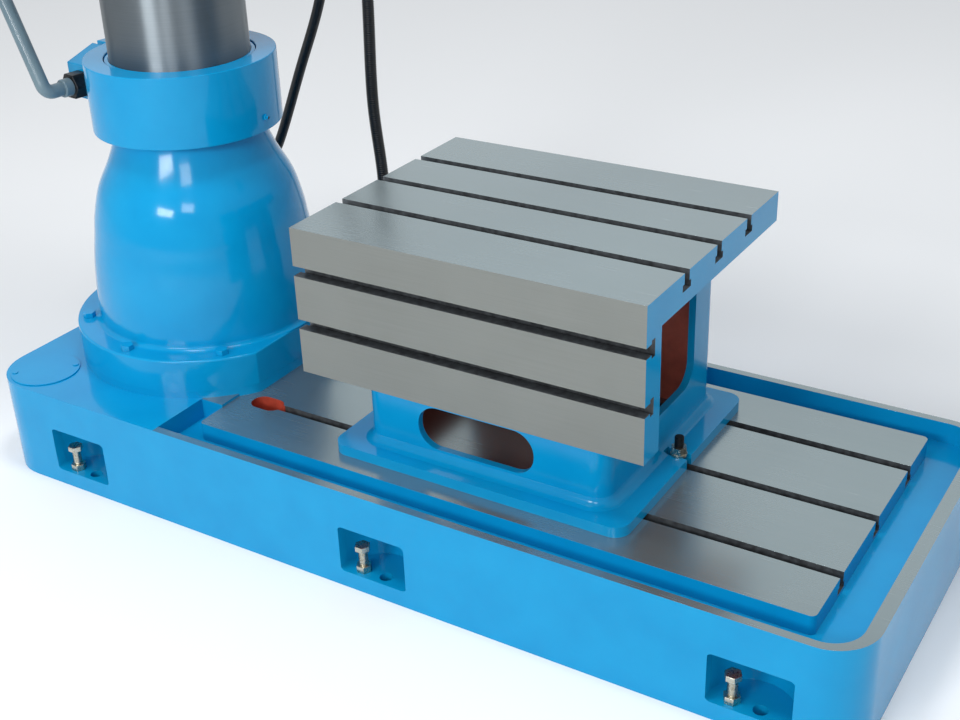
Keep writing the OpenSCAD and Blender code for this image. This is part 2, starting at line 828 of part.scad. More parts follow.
module base_casting() {
    color(paint) difference() {
        union() {
            difference() {
                linear_extrude(base_h) base_plan();
                translate([0, 0, gutter_z]) linear_extrude(gutter_drop + platform_drop + over) gutter_plan();
                box([platform_start, -platform_w / 2, platform_z],
                    [platform_end + over, platform_w / 2, base_h + over]);
            }
            translate([0, 0, gutter_z]) linear_extrude(seat_z - gutter_z) intersection() {
                flange_plan();
                translate([-flange_r, -nose_w / 2 - flange_r]) square([2 * flange_r, nose_w + 2 * flange_r]);
            }
        }
        for (y = slot_ys) translate([slot_start + entry_w / 2, y, platform_z]) {
            tee_slot(platform_end - slot_start);
            translate([0, 0, -slot_depth]) linear_extrude(slot_depth + over) {
                circle(d = entry_w);
                translate([entry_len - entry_w, 0]) circle(d = entry_w);
                translate([0, -entry_w / 2]) square([entry_len - entry_w, entry_w]);
            }
        }
        at_pockets() {
            intersection() {
                translate([0, 0, pocket_floor - over]) linear_extrude(pocket_h + 2 * over) {
                    translate([-pocket_w / 2, -over]) square([pocket_w, pocket_in - pocket_w / 2 + over]);
                    translate([0, pocket_in - pocket_w / 2]) circle(d = pocket_w);
                }
                translate([0, pocket_in + over, pocket_floor]) to_front() linear_extrude(pocket_in + 3 * over)
                    round_plan([-pocket_w / 2 - over, 0], [pocket_w / 2 + over, pocket_h], pocket_round);
            }
            translate([anchor_side, anchor_in, -over]) cylinder(d = anchor_d, h = pocket_floor + 2 * over);
            translate([-level_side, level_in, -over])
                cylinder(d = level_d + 2 * fit, h = pocket_floor + 2 * over);
        }
        for (c = cell_shares, s = sides)
            translate([cell_start + c * (cell_w + cell_rib), s * (cell_w + cell_rib) / 2 - cell_w / 2, -over])
                cube([cell_w, cell_w, cell_h + over]);
        translate([-sump_x, -sump_y, base_h - well_h]) cylinder(d = well_d, h = well_h + over);
        for (a = bolt_angles) rotate(a) translate([bolt_circle_r, 0, flange_top - flange_shank_len])
            cylinder(d = flange_shank + hole_gap, h = flange_shank_len);
    }
}
module levelling_screws() {
    color(zinc) at_pockets() translate([-level_side, level_in, 0]) {
        cylinder(d = level_d, h = level_len);
        translate([0, 0, level_len]) hex_bar(level_af, level_head);
        translate([0, 0, pocket_floor]) hex_bar(level_af, level_nut);
    }
}
module sump_cover() {
    color(paint) translate([-sump_x, -sump_y, base_h]) {
        cylinder(d = sump_d, h = sump_t);
        for (s = sides) rotate(45) translate([s * (sump_d + well_d) / 4, 0, sump_t])
            cylinder(d = sump_screw_d, h = sump_screw_h);
    }
}

// Pedestal

module pedestal() {
    color(paint) difference() {
        union() {
            translate([0, 0, seat_z]) linear_extrude(flange_h) flange_plan();
            rotate_extrude($fn = 96) polygon(concat([[0, flange_top - over]],
                [[bulb_r, flange_top - over]],
                [for (s = bulb_shares)
                    [neck_r + s.x * (bulb_r - neck_r), flange_top + s.y * bulb_h]],
                [[shoulder_r, bulb_top + shoulder_h], [shoulder_r, ring_z], [neck_r, ring_z],
                    [neck_r, neck_top], [0, neck_top]]));
        }
        translate([0, 0, bearing_z]) cylinder(r = bore_r, h = neck_top - bearing_z + over, $fn = 96);
        translate([0, 0, flange_top]) cylinder(r = hollow_r, h = hollow_h);
        translate([0, 0, seat_z - over]) cylinder(r = sole_r, h = sole_t + 2 * over);
        for (a = bolt_angles) rotate(a) translate([bolt_circle_r, 0, seat_z - over])
            cylinder(d = flange_shank + hole_gap, h = flange_h + 2 * over);
    }
}
module pedestal_bolts() {
    color(paint) for (a = bolt_angles) rotate(a) translate([bolt_circle_r, 0, flange_top]) {
        hex_bar(flange_af, flange_head);
        translate([0, 0, over - flange_shank_len]) cylinder(d = flange_shank, h = flange_shank_len - over);
    }
}
module thrust_bearing() {
    color(steel) translate([0, 0, bearing_z]) {
        for (z = [0, race_h + ball_gap]) translate([0, 0, z]) difference() {
            cylinder(r = bearing_out_r, h = race_h);
            translate([0, 0, -over]) cylinder(r = bearing_in_r, h = race_h + 2 * over);
        }
        for (a = ball_angles) rotate(a) translate([ball_ring_r, 0, race_h + ball_gap / 2])
            sphere(ball_r, $fn = 24);
    }
}
module clamp_ring() {
    color(paint) translate([0, 0, ring_z]) difference() {
        union() {
            cylinder(r = ring_r, h = ring_h, $fn = 96);
            rotate(-lug_turn) translate([0, 0, lug_z]) intersection() {
                translate([0, lug_back, 0]) to_front() linear_extrude(lug_front + lug_back)
                    round_plan([-lug_reach, 0], [-ring_r / 2, 2 * lug_h], lug_round);
                translate([-lug_reach - over, 0, 0]) rotate([90, 0, 90]) linear_extrude(lug_reach)
                    polygon([[-lug_front - over, -over], [lug_back + over, -over],
                        [lug_back + over, lug_h + lug_rise], [0, lug_h + lug_rise],
                        [-lug_front - over, lug_h]]);
            }
        }
        translate([0, 0, -over]) cylinder(r = neck_r + ring_gap, h = ring_h + 2 * over, $fn = 96);
        rotate(-lug_turn) {
            box([-lug_reach - over, -split_w / 2, -over], [-neck_r / 2, split_w / 2, ring_h + over]);
            translate([-clamp_x, lug_back + over, clamp_z - ring_z]) to_front()
                cylinder(d = clamp_d + hole_gap, h = lug_front + lug_back + 2 * over);
        }
    }
}
module oil_nipple() {
    color(dark) translate([0, 0, ring_z + nipple_up]) rotate(nipple_turn) translate([ring_r, 0, 0])
        rotate([0, 90, 0]) {
            hex_bar(nipple_d, nipple_len / 2);
            cylinder(d = nipple_d / 2, h = nipple_len);
        }
}
module clamp_screw() {
    color(dark) rotate(-lug_turn) translate([-clamp_x, lug_back, clamp_z]) to_front() {
        translate([0, 0, -clamp_head_h]) cylinder(d = clamp_af, h = clamp_head_h);
        cylinder(d = clamp_d, h = lug_back + lug_front);
    }
}
module clamp_nut() {
    color(dark) rotate(-lug_turn) translate([-clamp_x, -lug_front, clamp_z]) to_front()
        hex_bar(clamp_af, clamp_nut_h);
}
module clamp_lever() {
    color(grey) rotate(-lug_turn) translate([-clamp_x, lever_y, clamp_z]) rotate([0, -lever_lean, 0]) {
        to_front() cylinder(d = lever_d, h = lever_stub);
        translate([0, -lever_stub, lever_bend]) rotate([0, 90, 180])
            rotate_extrude(angle = 90) translate([lever_bend, 0]) circle(d = lever_d);
        translate([0, -lever_stub - lever_bend, lever_bend]) {
            cylinder(d = lever_d, h = lever_arm);
            translate([0, 0, lever_arm]) sphere(d = lever_d, $fn = 32);
        }
    }
}

// Column and its key

module column() {
    color(steel) difference() {
        translate([0, 0, column_foot]) cylinder(r = column_r, h = column_top - column_foot, $fn = 96);
        translate([0, 0, column_foot - over])
            cylinder(r = column_r - column_wall, h = column_top - column_foot + 2 * over);
        box([-key_w / 2, column_r - key_in, key_foot], [key_w / 2, column_r + over, column_top + over]);
    }
}
module column_key() {
    color(steel) box([-key_w / 2, column_r - key_in, key_foot], [key_w / 2, column_r + key_out, column_top]);
}

// Box table

module root_plan() {
    polygon(concat([[-over, -over], [fillet * (1 - sin(root_angles[0])), -over]],
        [for (a = root_angles) [fillet * (1 - sin(a)), fillet * (1 - cos(a))]],
        [[-over, fillet * (1 - cos(root_angles[5]))]]));
}
module table_root() {
    half = [table_len / 2 - body_in - body_round, (body_back - body_front) / 2 - body_round];
    translate([table_len / 2, (body_front + body_back) / 2, foot_z]) for (i = [0:3]) rotate(i * 90)
        translate([half[i % 2], 0, 0]) {
            translate([body_round, half[(i + 1) % 2], 0]) to_front()
                linear_extrude(2 * half[(i + 1) % 2]) root_plan();
            translate([0, half[(i + 1) % 2], 0]) rotate_extrude(angle = 90)
                translate([body_round, 0]) root_plan();
        }
}
module table_casting() {
    color(paint) translate([table_x, -table_front, 0]) difference() {
        union() {
            box([0, 0, plate_under], [table_len, table_w, table_z]);
            box([0, 0, table_z - front_h], [table_len, front_t, table_z]);
            translate([0, 0, foot_z - over]) linear_extrude(plate_under - foot_z + 2 * over)
                round_plan([body_in, body_front], [table_len - body_in, body_back], body_round);
            table_root();
            translate([0, 0, platform_z]) linear_extrude(foot_t)
                round_plan([foot_in, foot_front], [table_len - foot_in, foot_back], foot_round);
        }
        box([body_in + body_wall, body_front + body_wall, platform_z - over],
            [table_len - body_in - body_wall, body_back - body_wall, plate_under]);
        translate([body_in + window_in, body_front + body_wall + over, foot_z + window_sill]) to_front()
            linear_extrude(body_wall + 2 * over)
                round_plan([0, 0], [window_len, front_window_h], front_window_h / 2 - over);
        for (x = [body_in - over, table_len - body_in - body_wall - over])
            translate([x, (body_front + body_back - end_window_w) / 2, foot_z + end_sill])
                rotate([90, 0, 90]) linear_extrude(body_wall + 2 * over)
                    round_plan([0, 0], [end_window_w, window_h], end_window_w / 6);
        for (i = [-1, 0, 1]) translate([-over, top_mid + i * top_pitch, table_z])
            tee_slot(table_len + 2 * over);
        for (i = [0, 1]) translate([-over, 0, table_z - front_slot_top - i * front_pitch]) to_front()
            tee_slot(table_len + 2 * over);
        for (x = [foot_in - over, table_len - foot_in - end_slot_len])
            box([x, table_front - slot_w / 2, platform_z - over],
                [x + end_slot_len + over, table_front + slot_w / 2, foot_z + fillet]);
        for (x = bolt_xs) translate([x - table_x, table_front, foot_z])
            cylinder(r = 3 * stud_af / 4, h = 2 * fillet);
    }
}
module table_bolts() {
    color(zinc) for (x = bolt_xs) translate([x, 0, 0]) {
        translate([-stud_head_w / 2, -stud_head_w / 2, stud_foot])
            cube([stud_head_w, stud_head_w, stud_head_h]);
        translate([0, 0, stud_foot])
            cylinder(d = stud_d, h = foot_z + stud_nut + stud_over - stud_foot);
    }
}
module table_nuts() {
    color(zinc) for (x = bolt_xs) translate([x, 0, foot_z]) difference() {
        union() {
            hex_bar(stud_af, stud_nut);
            cylinder(d = stud_af + stud_nut / 4, h = stud_nut / 4);
        }
        translate([0, 0, -over]) cylinder(d = stud_d + 2 * fit, h = stud_nut + 2 * over);
    }
}

// Pump, elbow box and conduits

module coolant_pump() {
    color(paint) translate([-pump_x, pump_y, pump_z]) {
        cylinder(r = pump_flange_r, h = pump_flange_t);
        cylinder(r = pump_r, h = pump_h - pump_flange_t);
        translate([0, 0, pump_h - pump_flange_t]) cylinder(r1 = pump_r, r2 = pump_r / 2, h = pump_flange_t);
    }
}
module pump_box() {
    color(dark) difference() {
        union() {
            box([-pump_gland_x - box_d / 2, pump_box_y - pump_r / 4, pump_z + pump_flange_t + gap],
                [-pump_gland_x + box_d / 2, pump_gland_y + box_d / 2, pump_z + box_h]);
            translate([-pump_gland_x, pump_gland_y, pump_z + box_h]) hex_bar(gland_d, gland_len - over);
        }
        translate([-pump_x, pump_y, pump_z]) cylinder(r = pump_r, h = pump_h);
        translate([-pump_gland_x, pump_gland_y, pump_z + box_h])
            cylinder(r = conduit_r + over, h = gland_len + over);
    }
}
module elbow_box() {
    color(dark) difference() {
        union() {
            box([elbow_x - elbow_w / 2, base_half, elbow_z],
                [elbow_x + elbow_w / 2, conduit_y + elbow_w / 2, elbow_top]);
            translate([elbow_x, conduit_y, elbow_top]) hex_bar(gland_d, gland_len - over);
        }
        translate([elbow_x, conduit_y, elbow_top]) cylinder(r = conduit_r + over, h = gland_len + over);
    }
}

function curve(p, i, t) =
    let (a = p[max(i - 1, 0)], b = p[i], c = p[i + 1], d = p[min(i + 2, len(p) - 1)])
    0.5 * (2 * b + (c - a) * t + (2 * a - 5 * b + 4 * c - d) * t * t + (3 * b - a - 3 * c + d) * t * t * t);
function fine(p) = concat([for (i = [0:len(p) - 2], k = [0:5]) curve(p, i, k / 6)], [p[len(p) - 1]]);
function lengths(q) = [for (i = 0, s = 0; i < len(q); s = s + (i + 1 < len(q) ? norm(q[i + 1] - q[i]) : 0),
    i = i + 1) s];
function along(q, l, s) = [for (k = [0:2]) lookup(s, [for (i = [0:len(q) - 1]) [l[i], q[i][k]]])];
function unit(v) = v / norm(v);
function ring(q, l, s, r, n) =
    let (e = l[len(l) - 1], h = e / 400, c = along(q, l, s),
        t = unit(along(q, l, min(s + h, e)) - along(q, l, max(s - h, 0))),
        u = unit([1, 0, 0] - t.x * t), v = cross(t, u))
    [for (k = [0:n - 1]) c + r * (cos(k * 360 / n) * u + sin(k * 360 / n) * v)];
function bands(a, b, n, m) = [for (i = [a:b - 1], k = [0:n - 1], h = [0, 1])
    h == 0 ? [i * n + k, i * n + (k + 1) % n, (i + 1) * n + k] :
        [i * n + (k + 1) % n, (i + 1) * n + (k + 1) % n, (i + 1) * n + k]];

module pump_conduit() {
    q = fine(pump_route);
    l = lengths(q);
    e = l[len(l) - 1];
    n = 10;
    m = 70;
    pts = [for (i = [0:m]) each ring(q, l, e * i / m, conduit_r, n)];
    color(dark) polyhedron(pts, concat([[for (k = [n - 1:-1:0]) n - 1 - k]],
        [for (f = bands(0, m, n)) [f[0], f[2], f[1]]], [[for (k = [0:n - 1]) m * n + n - 1 - k]]));
    echo(pump_conduit_length = e);
}
module supply_conduit() {
    q = fine(supply_route);
    l = lengths(q);
    e = l[len(l) - 1];
    n = 8;
    m = 2 * rib_count + 1;
    w = 60;
    pts = concat([for (i = [0:m]) each ring(q, l, e * i / m, conduit_r - (i % 2 == 0 ? rib_h : 0), n)],
        [for (i = [w:-1:0]) each ring(q, l, e * i / w, conduit_r - rib_h - conduit_wall, n)]);
    turn = bands(0, m + w + 1, n);
    color(dark) polyhedron(pts, concat([for (f = turn) [f[0], f[2], f[1]]],
        [for (k = [0:n - 1], h = [0, 1])
            let (a = (m + w + 1) * n + k, b = (m + w + 1) * n + (k + 1) % n)
            h == 0 ? [a, k, b] : [b, k, (k + 1) % n]]));
    echo(supply_conduit_length = e);
}

// Lift

module lift_plan(r, s) {
    translate([screw_x, screw_y]) circle(r);
    translate([lift_motor_x, lift_motor_y]) circle(s);
}
module lift_housing() {
    color(paint) difference() {
        translate([0, 0, column_top]) linear_extrude(cap_h) {
            circle(cap_r);
            lift_plan(gear_case_r, lift_motor_r);
            rotate(screw_turn) translate([0, over - gear_case_r])
                square([screw_r, 2 * (gear_case_r - over)]);
            translate([gland_xs[0] - gland_d, 0])
                square([gland_xs[1] - gland_xs[0] + 2 * gland_d, gland_seat]);
        }
        translate([0, 0, cap_inside]) linear_extrude(cap_h)
            lift_plan(gear_case_r - gear_case_wall, lift_pinion_r + gear_case_wall / 2);
        translate([screw_x, screw_y, column_top - over])
            cylinder(d = screw_d + 2 * fit, h = cap_floor + 2 * over);
    }
}
module conduit_glands() {
    color(dark) for (x = gland_xs) translate([x, gland_seat, gland_z]) rotate([-90, 0, 0]) difference() {
        hex_bar(gland_d, gland_len);
        translate([0, 0, -over]) cylinder(r = conduit_r + gap, h = gland_len + 2 * over);
    }
}
module housing_lid() {
    color(paint) translate([0, 0, cap_top]) difference() {
        linear_extrude(lid_t) {
            lift_plan(gear_case_r, lift_motor_r);
            rotate(screw_turn) translate([screw_r - lift_centres, -gear_case_r / 2])
                square([lift_centres, gear_case_r]);
        }
        translate([lift_motor_x, lift_motor_y, -over]) cylinder(r = shaft_r + gap, h = lid_t + 2 * over);
    }
}
module motor_body(r, h) {
    cylinder(r = r - fin_h, h = h);
    for (z = [0, h - motor_flange_t]) translate([0, 0, z]) cylinder(r = r, h = motor_flange_t);
    linear_extrude(h - motor_flange_t) for (a = [0:15:345]) rotate(a)
        translate([r - 2 * fin_h, -fin_t / 2]) square([2 * fin_h, fin_t]);
}
module lift_motor() {
    color(paint) translate([lift_motor_x, lift_motor_y, cap_top + lid_t]) {
        motor_body(lift_motor_r, lift_motor_h - cowl_h);
        translate([0, 0, lift_motor_h - cowl_h]) {
            cylinder(r = lift_motor_r, h = cowl_h - fin_h);
            translate([0, 0, cowl_h - fin_h])
                cylinder(r1 = lift_motor_r, r2 = lift_motor_r - fin_h, h = fin_h);
        }
    }
}
module lift_gear() {
    color(steel) translate([screw_x, screw_y, lift_gear_z]) difference() {
        linear_extrude(lift_gear_w) gear_plan(lift_gear_r, 40, rack_tooth);
        translate([0, 0, -over]) cylinder(d = screw_d + fit, h = lift_gear_w + 2 * over);
    }
}
module lift_pinion() {
    color(steel) translate([lift_motor_x, lift_motor_y, lift_gear_z]) {
        linear_extrude(lift_gear_w) gear_plan(lift_pinion_r, 22, rack_tooth);
        cylinder(r = shaft_r, h = cap_top + lid_t - lift_gear_z);
    }
}
module lift_screw() {
    color(steel) translate([screw_x, screw_y, screw_foot])
        cylinder(d = screw_d, h = lift_gear_z + lift_gear_w + gear_case_wall - screw_foot);
}
module lift_nut() {
    color(brass) translate([screw_x, screw_y, nut_z]) difference() {
        union() {
            cylinder(d = nut_d, h = nut_len);
            translate([0, 0, -nut_flange_t]) cylinder(d = nut_flange_d, h = nut_flange_t);
        }
        translate([0, 0, -nut_flange_t - over])
            cylinder(d = screw_d + 2 * fit, h = nut_len + nut_flange_t + 2 * over);
    }
}

// Arm

module arm_casting() {
    color(paint) difference() {
        union() {
            translate([0, 0, arm_z]) cylinder(r = sleeve_r, h = sleeve_h, $fn = 96);
            box([way_start, way_y, way_z], [arm_len, way_back, way_top]);
            translate([0, beam_back, arm_z]) to_front() linear_extrude(beam_back - way_back)
                polygon([[0, way_low / 2], [way_start, way_low + beam_in],
                    [arm_len, way_low + beam_in + beam_rise], [arm_len, way_low + way_h - beam_in],
                    [way_start, way_low + way_h - beam_in], [way_start, way_low + way_h],
                    [0, way_low + way_h]]);
            translate([0, 0, way_z - way_low / 2]) linear_extrude(way_h + way_low / 2)
                polygon([[0, -sleeve_r * 0.9], [sleeve_r * 0.8, -sleeve_r * 0.6], [way_start, way_y],
                    [way_start, beam_back], [0, beam_back], [-sleeve_r * 0.8, sleeve_r * 0.6]]);
            box([-arm_lug_half, -arm_lug_reach, arm_z + way_low],
                [arm_lug_half, -bore_r, arm_z + sleeve_h - way_low]);
            translate([screw_x, screw_y, nut_z]) cylinder(r = nut_lug_r, h = nut_len);
            box([-cabinet_x, -sleeve_r / 2, arm_z + way_low],
                [-bore_r, sleeve_r / 2, arm_z + sleeve_h - way_low]);
        }
        box([way_start, way_back + beam_wall, way_z + beam_in + beam_rise + beam_wall],
            [arm_len + over, beam_back - beam_wall, way_top - beam_in - beam_wall]);
        translate([0, 0, arm_z - over]) cylinder(r = bore_r, h = sleeve_h + 2 * over, $fn = 96);
        box([-key_w / 2 - fit, 0, arm_z - over],
            [key_w / 2 + fit, column_r + key_out + gap, arm_z + sleeve_h + over]);
        box([-slit_w / 2, -arm_lug_reach - over, arm_z - over],
            [slit_w / 2, 0, arm_z + sleeve_h + over]);
        translate([screw_x, screw_y, arm_z - over]) {
            cylinder(d = screw_d + 2 * hole_gap, h = sleeve_h + 2 * over);
            cylinder(d = nut_flange_d + hole_gap, h = nut_z - arm_z + over);
            cylinder(d = nut_d + fit, h = nut_z + nut_len - arm_z + over);
        }
        translate([-arm_lug_half - over, -arm_clamp_y, arm_z + sleeve_h / 2]) rotate([0, 90, 0])
            cylinder(d = clamp_d + 2 * fit, h = 2 * arm_lug_half + 2 * over);
    }
}
module arm_rack() {
    color(steel) translate([way_start, way_y, rack_z]) to_front() linear_extrude(rack_w)
        polygon(concat([[0, rack_w]], [for (i = [0:rack_count - 1], k = [0:3])
            [(i + [0, 0.2, 0.5, 0.7][k]) * rack_pitch, k == 1 || k == 2 ? 0 : rack_tooth]],
            [[rack_count * rack_pitch, rack_tooth], [rack_count * rack_pitch, rack_w]]));
}
module arm_end_cover() {
    color(paint) translate([arm_len, 0, 0]) difference() {
        box([0, way_back - way_t / 2, way_z + beam_in + beam_rise - end_t],
            [end_t, beam_back, way_top - beam_in + end_t]);
        for (y = [way_back + 2 * end_t, beam_back - 2 * end_t],
            z = [way_z + beam_in + beam_rise + end_t, way_top - beam_in - end_t])
            translate([end_t / 2, y, z]) rotate([0, 90, 0]) cylinder(d = sump_screw_d, h = end_t);
    }
}
module arm_clamp() {
    color(steel) translate([-arm_lug_half, -arm_clamp_y, arm_z + sleeve_h / 2]) rotate([0, 90, 0]) {
        translate([0, 0, -boss_h - rod_r - over]) cylinder(d = clamp_af, h = boss_h + rod_r + over);
        cylinder(d = clamp_d, h = 2 * arm_lug_half + clamp_head_h);
        translate([0, 0, 2 * arm_lug_half]) hex_bar(clamp_af, clamp_head_h);
        translate([0, 0, -boss_h]) rotate([0, 90, 0]) knob_lever(clamp_len, rod_r, knob_r);
    }
}
module cabinet() {
    color(paint) difference() {
        box([-cabinet_x - cabinet_d, -cabinet_w / 2, cabinet_z],
            [-cabinet_x, cabinet_w / 2, cabinet_z + cabinet_h]);
        box([-cabinet_x - cabinet_d - over, -cabinet_w / 2 + cabinet_wall, cabinet_z + cabinet_wall],
            [-cabinet_x - cabinet_wall, cabinet_w / 2 - cabinet_wall, cabinet_z + cabinet_h - cabinet_wall]);
    }
}
module cabinet_cover() {
    color(paint) translate([-cabinet_x - cabinet_d, 0, cabinet_z]) difference() {
        box([-cabinet_cover_t, -cabinet_w / 2, 0], [0, cabinet_w / 2, cabinet_h]);
        for (y = sides, z = [gland_len, cabinet_h - gland_len])
            translate([-cabinet_cover_t - over, y * (cabinet_w / 2 - gland_len), z]) rotate([0, 90, 0])
                cylinder(d = sump_screw_d, h = cabinet_cover_t / 2 + over);
    }
}
module main_switch() {
    color(dark) translate([-cabinet_x - cabinet_d / 2, -cabinet_w / 2 - gap, cabinet_z + 2 * cabinet_h / 3])
        to_front() {
            cylinder(d = switch_d, h = switch_h);
            translate([0, 0, switch_h]) linear_extrude(switch_h)
                round_plan([-switch_d / 6, -switch_grip / 2], [switch_d / 6, switch_grip / 2], switch_d / 8);
        }
}

// Drill head

module head_casting() {
    color(paint) translate([spindle_x, 0, 0]) difference() {
        union() {
            translate([0, 0, head_z]) linear_extrude(head_h) {
                round_plan([-head_w / 2, -head_front], [head_w / 2, head_back], head_round);
                translate([-head_w / 2, 0]) square([head_w, head_back]);
            }
            for (z = [way_z - way_gap - hook_t, way_top + way_gap])
                box([-head_w / 2, head_back - hook_in, z], [head_w / 2, way_back + hook_in, z + hook_t]);
        }
        translate([0, 0, head_z - over]) cylinder(r = quill_r + fit, h = head_h + 2 * over);
        translate([0, 0, chamber_z]) linear_extrude(head_h) round_plan(
            [-chamber_left, -head_front + chamber_wall],
            [head_w / 2 - chamber_wall, head_back - rack_w - chamber_wall],
            chamber_wall);
        translate([hub_x, -head_front - over, hub_z]) rotate([-90, 0, 0])
            cylinder(r = shaft_r + fit, h = head_front + feed_pinion_w + chamber_wall);
        translate([hub_x, -feed_pinion_w / 2 - over, hub_z]) rotate([-90, 0, 0])
            cylinder(r = feed_pinion_r + over, h = feed_pinion_w + 2 * over);
        translate([-wheel_x, -head_front - over, wheel_z]) rotate([-90, 0, 0])
            cylinder(r = shaft_r + fit, h = head_front + head_back + 2 * over);
        translate([-wheel_x, head_back - rack_w - 2 * over, wheel_z]) rotate([-90, 0, 0])
            cylinder(r = pinion_r + over, h = rack_w + 3 * over);
        box([-head_w / 2 - over, head_back - rack_w - 2 * over, rack_z - over],
            [head_w / 2 + over, head_back + over, rack_z + rack_w + over]);
    }
}
module head_keepers() {
    color(steel) translate([spindle_x, 0, 0])
        for (z = [way_z - way_gap, way_top + way_gap - keeper_h])
            box([-head_w / 2, way_back + way_gap, z], [head_w / 2, way_back + hook_in, z + keeper_h]);
}
module head_cover() {
    color(paint) translate([spindle_x, 0, head_top]) difference() {
        linear_extrude(cover_t) round_plan([-head_w / 2 + over, -head_front + over],
            [head_w / 2 - over, head_back - over], head_round);
        translate([0, 0, -over]) cylinder(r = cap_tube_r - cap_tube_wall, h = cover_t + 2 * over);
        translate([motor_dx, -motor_dy, -over]) cylinder(r = shaft_r + gap, h = cover_t + 2 * over);
    }
}
module spindle_cap() {
    color(paint) translate([spindle_x, 0, cover_z]) difference() {
        union() {
            cylinder(r = cap_tube_r, h = cap_tube_h);
            translate([0, 0, cap_tube_h]) cylinder(r1 = cap_tube_r, r2 = cap_tube_r / 2, h = cap_tube_wall);
        }
        translate([0, 0, -over])
            cylinder(r = cap_tube_r - cap_tube_wall, h = cap_tube_h - cap_tube_wall + over);
    }
}
module drive_motor() {
    color(paint) translate([motor_at.x, motor_at.y, cover_z]) motor_body(motor_r, motor_h);
}
module motor_cowl() {
    color(paint) translate([motor_at.x, motor_at.y, cover_z + motor_h]) difference() {
        union() {
            cylinder(r = motor_r, h = cowl_h - fin_h);
            translate([0, 0, cowl_h - fin_h]) cylinder(r1 = motor_r, r2 = motor_r - fin_h, h = fin_h);
        }
        translate([0, 0, -over]) cylinder(r = motor_r - cowl_t, h = cowl_h - fin_h - cowl_t + over);
        for (a = [0:30:330]) rotate(a) translate([motor_r / 3, -fin_t / 2, cowl_h - fin_h - 2 * cowl_t])
            cube([motor_r / 3, fin_t, 2 * fin_h]);
    }
}
module motor_box() {
    color(paint) difference() {
        box([motor_at.x + motor_r - 2 * fin_h, motor_at.y - box_len / 2, cover_z + 2 * motor_flange_t],
            [motor_at.x + motor_r + box_d, motor_at.y + box_len / 2, cover_z + 2 * motor_flange_t + box_h]);
        translate([motor_at.x, motor_at.y, cover_z]) cylinder(r = motor_r + gap, h = motor_h);
    }
}
module drive_gear() {
    color(steel) translate([spindle_x, 0, gear_z]) difference() {
        linear_extrude(drive_gear_w) gear_plan(drive_gear_r, 26, rack_tooth);
        translate([0, 0, -over]) cylinder(r = spline_r + fit, h = drive_gear_w + 2 * over);
    }
}
module motor_pinion() {
    color(steel) translate([motor_at.x, motor_at.y, gear_z]) {
        linear_extrude(drive_gear_w) gear_plan(motor_pinion_r, 34, rack_tooth);
        cylinder(r = shaft_r, h = cover_z - gear_z);
    }
}
module quill() {
    color(steel) translate([spindle_x, 0, quill_z]) difference() {
        cylinder(r = quill_r, h = quill_len);
        translate([0, 0, -over]) cylinder(r = spindle_r + over, h = quill_len + 2 * over);
        for (z = [-over, quill_len - spindle_bearing_h])
            translate([0, 0, z]) cylinder(r = spindle_bearing_r + fit / 2, h = spindle_bearing_h + over);
        for (z = [spindle_bearing_h + over:rack_pitch:quill_len - spindle_bearing_h - rack_pitch])
            translate([quill_r - quill_flat / 2, -feed_pinion_w / 2, z])
                cube([quill_flat, feed_pinion_w, rack_pitch / 2]);
    }
}
module spindle_bearings() {
    color(steel) translate([spindle_x, 0, quill_z])
        for (z = [0, quill_len - spindle_bearing_h]) translate([0, 0, z]) difference() {
            cylinder(r = spindle_bearing_r, h = spindle_bearing_h);
            translate([0, 0, -over]) cylinder(r = (z == 0 ? spindle_r : spline_r) + fit,
                h = spindle_bearing_h + 2 * over);
        }
}
module spindle() {
    color(steel) translate([spindle_x, 0, spindle_z]) difference() {
        union() {
            cylinder(r = nose_r, h = nose_h - gap);
            cylinder(r = spindle_r, h = spindle_thick);
            cylinder(r = spline_r, h = spindle_len);
        }
        translate([0, 0, -over]) cylinder(d1 = taper_d, d2 = taper_end_d, h = taper_len + over);
        box([-drift_w / 2, -nose_r, taper_len], [drift_w / 2, nose_r, taper_len + drift_h]);
    }
}

// Hand controls

module feed_hub() {
    color(dark) translate([hub_at, -head_front - gap, hub_z]) to_front() {
        cylinder(r = hub_r, h = hub_len);
        translate([0, 0, hub_len]) cylinder(r1 = hub_r, r2 = hub_r - knob_r, h = knob_r);
    }
    color(steel) translate([hub_at, 0, hub_z]) rotate([-90, 0, 0]) {
        translate([0, 0, -head_front - gap]) cylinder(r = shaft_r, h = head_front + feed_pinion_w);
        translate([0, 0, -feed_pinion_w / 2]) linear_extrude(feed_pinion_w)
            gear_plan(hub_x - quill_r - gap, 24, rack_tooth);
    }
}
module feed_handles() {
    color(dark) translate([hub_at, -head_front - gap - hub_len / 2, hub_z])
        for (i = [0:handle_count - 1]) rotate([0, 20 + i * 360 / handle_count, 0])
            translate([0, 0, hub_r]) knob_lever(handle_reach - hub_r, handle_r, knob_r);
}
module dished_wheel(r) {
    difference() {
        cylinder(r = r, h = wheel_rim);
        translate([0, 0, wheel_web]) cylinder(r = r - wheel_rim, h = wheel_rim);
    }
    cylinder(r = boss_r, h = boss_h);
}
module traverse_wheel() {
    color(dark) translate([wheel_at, -head_front - wheel_gap, wheel_z]) to_front() dished_wheel(wheel_r);
    color(dark) crank();
    color(steel) translate([wheel_at, 0, wheel_z]) rotate([-90, 0, 0]) {
        translate([0, 0, -head_front - wheel_gap])
            cylinder(r = shaft_r, h = head_front + wheel_gap + head_back);
        translate([0, 0, head_back - rack_w]) linear_extrude(rack_w) gear_plan(pinion_r, 15, rack_tooth);
    }
}
